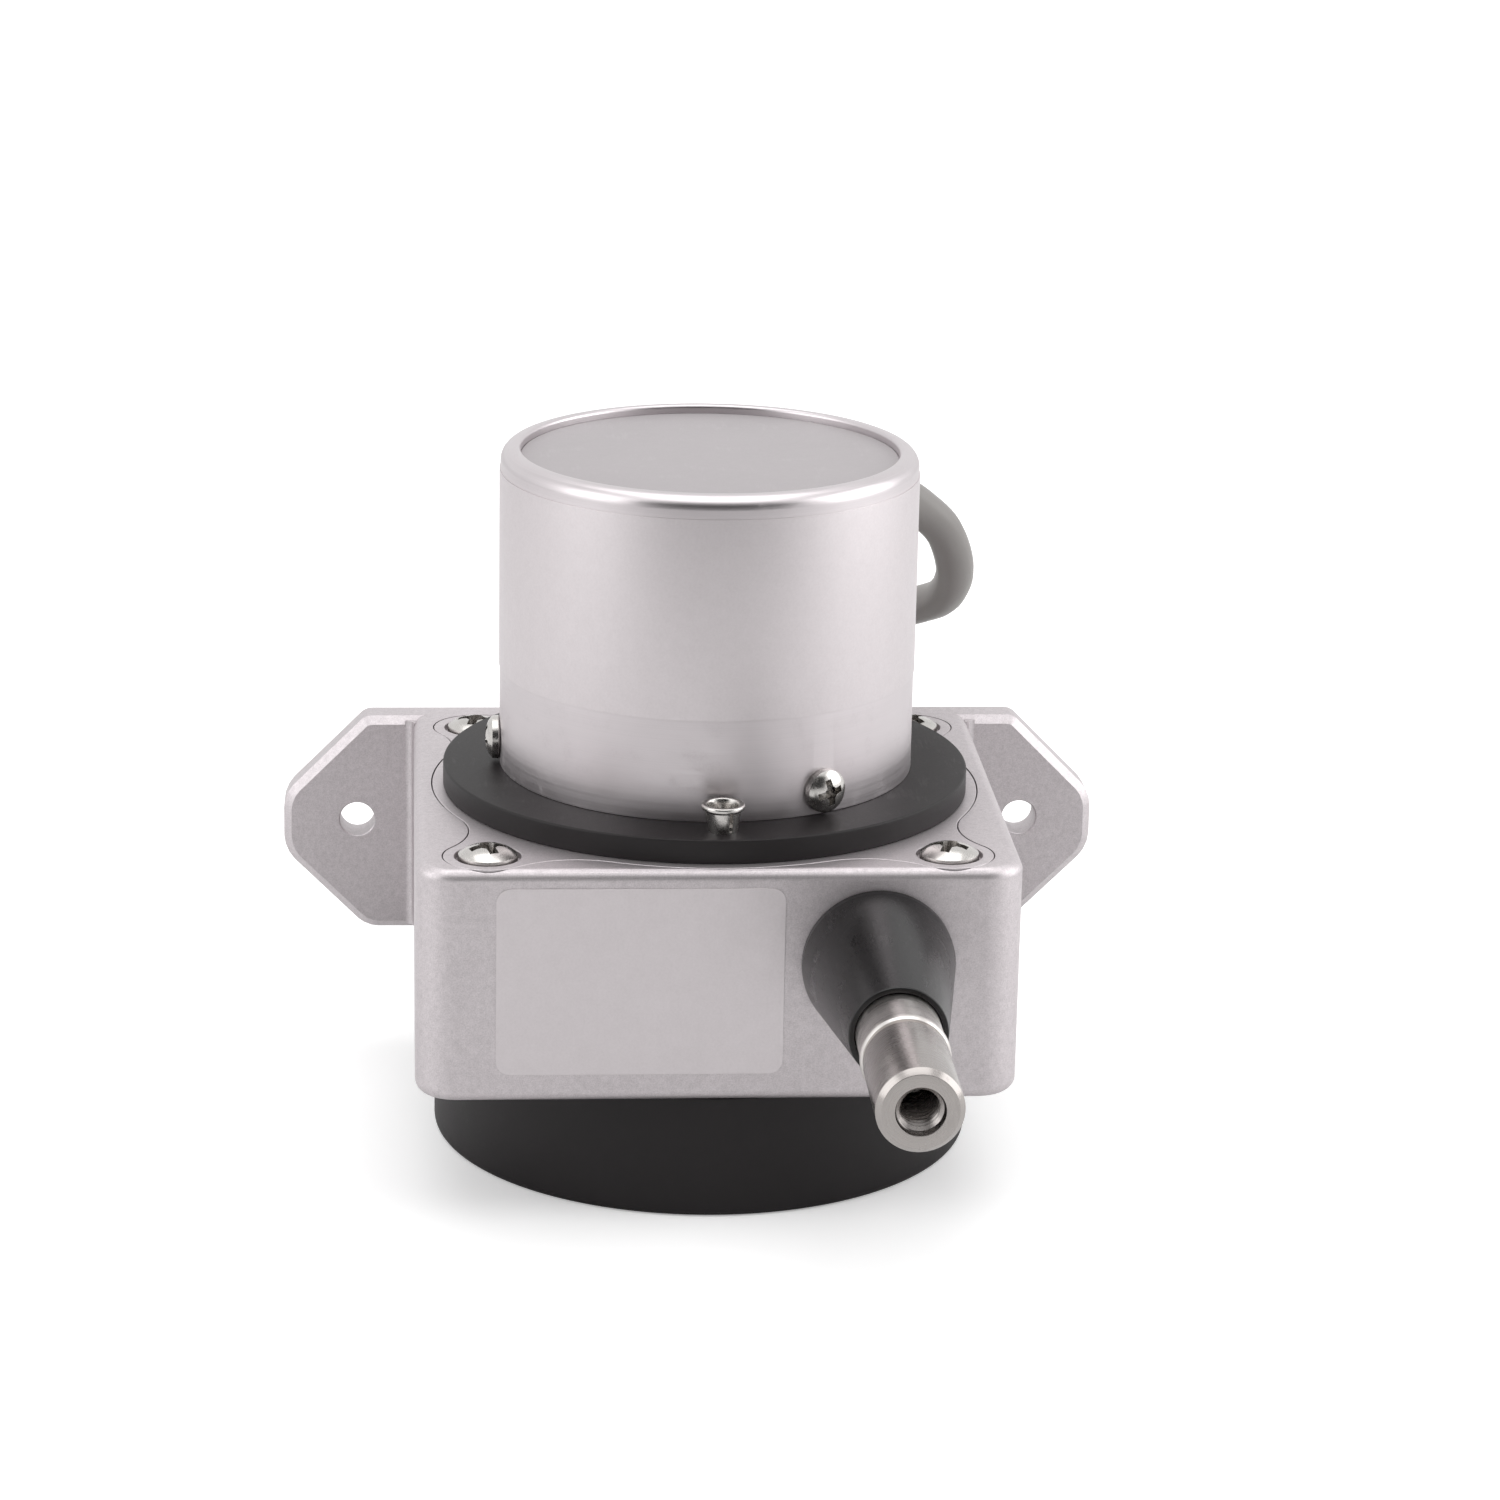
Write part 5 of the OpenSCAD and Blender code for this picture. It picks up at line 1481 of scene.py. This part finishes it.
@dataclass
class WireEnd:
    """What the wire leaves through and ends in: the rubber boot, the wire, the swivel ring and the barrel."""

    boot: Box = box_of("boot")
    ring: Box = box_of("swivel_ring")
    barrel: Box = box_of("end_barrel")
    wire: Box = box_of("wire")
    body_front: float = 38.6 * MM
    boot_tip_r: float = 6.3 * MM
    boot_mouth_r: float = 5.6 * MM
    boot_hole_r: float = 1.6 * MM
    boot_plug_r: float = 6 * MM
    wire_r: float = 0.5 * MM
    wire_rings: int = 120
    ring_r: float = 5.48 * MM
    split: float = 74.6 * MM

    @property
    def axis(self) -> Vector:
        """The point of the wire's line that is level with the drum's axis."""
        return Vector((self.wire.centre.x, 0, self.wire.centre.z))

    def _from(self, distance: float) -> Matrix:
        """A placement on the wire's line, facing forward, at a distance from the drum's axis."""
        return facing_front(self.axis + Vector((0, -distance, 0)))

    def build(self) -> None:
        """Makes the boot, the wire and the fitting."""
        self._boot()
        self._wire()
        self._ring()
        self._barrel()

    def _boot(self) -> None:
        """A tapered rubber sleeve with a flat lip, sunk at its tip for the ring."""
        tip, base = -self.boot.low.y - self.body_front, self.boot.high.x - self.axis.x
        plug, sunk = -5 * MM, tip - 3.4 * MM
        knots = [(self.boot_hole_r, plug, 0), (self.boot_plug_r, plug, 0), (self.boot_plug_r, 0, 0),
                 (base, 0, 0), (base, 1.2 * MM, 0.5 * MM),
                 (self.boot_tip_r + 0.1 * MM, tip - 0.3 * MM, 0.1 * MM),
                 (self.boot_tip_r, tip, 0.12 * MM), (self.boot_mouth_r, tip - 0.15 * MM, 0.1 * MM),
                 (self.boot_mouth_r, sunk, 0.2 * MM), (self.boot_hole_r, sunk, 0)]
        make_piece(Shape.lathe(knots, 128).move(self._from(self.body_front)), "outlet_boot",
                   Paint.BOOT_RUBBER, "boot_rubber", "boot", smooth_below=40.0)

    def _wire(self) -> None:
        """The wire rope, with many rings along it so that it can be drawn out."""
        start, end = -self.wire.high.y, -self.wire.low.y
        count = self.wire_rings
        knots = [(self.wire_r, start + (end - start) * k / count, 0) for k in range(count + 1)]
        rope = Shape.lathe([(0, start, 0), *knots, (0, end, 0)], 14).move(self._from(0))
        piece = rope.to_object("steel_wire")
        DRESSER.dress(piece, Paint.WIRE_ROPE, self.axis)
        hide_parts("wire")
        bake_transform(piece)
        log.info("%s stretches from case to wire_end and stands for wire", piece.name)

    def _ring(self) -> None:
        """The bright rear ring that carries the swivel's stem."""
        start, r = -self.ring.high.y, self.ring_r
        run = self.split - 0.3 * MM - start
        lip, hole, stem = r + 0.25 * MM, 0.6 * MM, 1.6 * MM
        neck, head = 2.6 * MM, 3.2 * MM
        knots = [(hole, 0, 0), (r - 0.3 * MM, 0, 0.2 * MM), (r, 0.5 * MM, 0.2 * MM),
                 (r, run - 1.7 * MM, 0.1 * MM), (lip, run - 1.3 * MM, 0.1 * MM),
                 (lip, run - 0.45 * MM, 0.1 * MM), (r, run, 0.08 * MM), (neck, run, 0),
                 (neck, run + 2 * MM, 0), (head, run + 2 * MM, 0), (head, run + 4 * MM, 0),
                 (stem, run + 4 * MM, 0), (stem, 4 * MM, 0), (hole, 4 * MM, 0)]
        make_piece(Shape.lathe(knots, 96).move(self._from(start)), "rear_fitting", Paint.RING_NICKEL,
                   "fitting_steel", "swivel_ring", body="wire_end", centre=self.axis)

    def _barrel(self) -> None:
        """The bright barrel with its chamfered face and its inner thread, drawn in millimetres."""
        long = (-self.barrel.low.y - self.split) / MM
        r = (self.barrel.high.x - self.axis.x) / MM
        knots = [(0, long - 14.2, 0), (2.67, long - 14.2, 0), (2.67, 0, 0), (r - 0.45, 0, 0.15),
                 (r, 0.55, 0.15), (r, long - 0.8, 0.1), (r - 0.7, long, 0.08), (3.15, long, 0.06),
                 (2.95, long - 0.6, 0), (2.95, long - 13, 0), (0, long - 13.6, 0)]
        barrel = Shape.lathe([(a * MM, h * MM, c * MM) for a, h, c in knots], 96)
        thread = thread_ridge(root=2.98 * MM, crest=2.5 * MM, pitch=MM, low=(long - 12.5) * MM,
                              high=(long - 0.7) * MM)
        make_piece(barrel.with_copy(thread).move(self._from(self.split)), "front_fitting",
                   Paint.FITTING_STEEL, "fitting_steel", "end_barrel", body="end_fitting", centre=self.axis)


def thread_ridge(root: float, crest: float, pitch: float, low: float, high: float, steps: int = 36) -> Shape:
    """The ridge of an inner thread, which fades out at both ends.

    Args:
        root: Radius of the bore.
        crest: Radius of the ridge's inner edge.
        pitch: Rise in one turn.
        low: Height at which it starts.
        high: Height at which it ends.
        steps: Steps in one turn.

    Returns:
        The closed ridge.
    """
    shape = Shape()
    count = round((high - low) / pitch * steps)
    rings = []
    for k in range(count + 1):
        angle, level = math.tau * k / steps, low + pitch * k / steps
        fade = min(1.0, k / (steps / 3), (count - k) / (steps / 3))
        tip = root + (crest - root) * fade
        flank = pitch * (0.46 * fade + 0.02)
        section = ((root + 0.05 * MM, level - flank), (tip, level - 0.06 * pitch),
                   (tip, level + 0.06 * pitch), (root + 0.05 * MM, level + flank))
        ahead = Vector((math.cos(angle), math.sin(angle), 0))
        rings.append([shape.mesh.verts.new(ahead * r + Vector((0, 0, z))) for r, z in section])
    for a, b in zip(rings, rings[1:]):
        for i in range(4):
            shape.mesh.faces.new((a[i], a[(i + 1) % 4], b[(i + 1) % 4], b[i]))
    for ring in (rings[0], rings[-1]):
        shape.mesh.faces.new(ring)
    return shape.closed_up()


# ---- Inner works ----


class PackedSolids:
    """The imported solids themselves: the inner works that stay in sight, and those that pieces stand for."""

    kept: dict[Paint, tuple[str, ...]] = {
        Paint.SEAL_RUBBER: ("lid_gasket", "cup_seal"),
        Paint.NICKEL_STEEL: ("flange_screws", "bracket_screws", "pot_nut"),
        Paint.SATIN_ALUMINIUM: ("sensor_bracket", "measuring_drum", "shaft_coupling"),
        Paint.BLUE_PLASTIC: ("pot_housing",),
        Paint.BRASS: ("pot_bushing", "wire_ferrule"),
        Paint.RESISTANCE_TRACK: ("pot_element",),
        Paint.GREEN_BOARD: ("circuit_board",),
        Paint.COMPONENTS: ("board_parts",),
        Paint.BEARING_STEEL: ("upper_bearing", "lower_bearing", "upper_balls", "lower_balls", "drum_shaft",
                              "spring_arbor", "upper_inner_ring", "lower_inner_ring", "pot_rotor"),
        Paint.SPRING_STEEL: ("mainspring",),
        Paint.CERAMIC: ("wire_guide",),
        Paint.BLACK_OXIDE: ("drum_screw", "retaining_ring", "coupling_screws"),
        Paint.WIRE_ROPE: ("wire_winding",),
    }
    hidden: dict[Paint, tuple[str, ...]] = {
        Paint.CAST_ALUMINIUM: ("housing", "lid"),
        Paint.LABEL_FOIL: ("front_label", "can_label"),
        Paint.NICKEL_STEEL: ("lid_screws", "can_screws", "lock_screw", "cup_screws"),
        Paint.FLANGE_PLASTIC: ("sensor_flange",),
        Paint.CAN_ALUMINIUM: ("sensor_can",),
        Paint.CAP_FILM: ("can_cap",),
        Paint.CUP_PLASTIC: ("spring_cup",),
        Paint.BOOT_RUBBER: ("boot",),
        Paint.SEAL_RUBBER: ("cable_grommet",),
        Paint.TIE_NYLON: ("cable_tie",),
        Paint.CABLE_SHEATH: ("cable", "cable_coil", "cable_tail"),
        Paint.LEAD_BROWN: ("brown_lead",),
        Paint.LEAD_BLACK: ("black_lead",),
        Paint.LEAD_SHIELD: ("shield_lead",),
        Paint.WIRE_ROPE: ("wire",),
        Paint.FITTING_STEEL: ("end_barrel",),
        Paint.RING_NICKEL: ("swivel_ring",),
    }

    def build(self) -> None:
        """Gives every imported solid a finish, the hidden ones for whoever shows them again."""
        for table in (self.kept, self.hidden):
            for paint, nodes in table.items():
                for node in nodes:
                    DRESSER.repaint(node, paint)
                log.info("%s on %s", paint.value.name, ", ".join(nodes))


def main() -> None:
    """Builds the room and the sensor in order."""
    logging.basicConfig(level=logging.INFO, format="%(message)s")
    scene = bpy.context.scene
    scene.view_settings.view_transform = "Standard"
    for part in (Studio(), SignalCable(), CastBody(), Lid(), BodyLabel(), SensorStage(), SpringCup(),
                 WireEnd(), PackedSolids()):
        part.build()


if __name__ == "__main__":
    main()
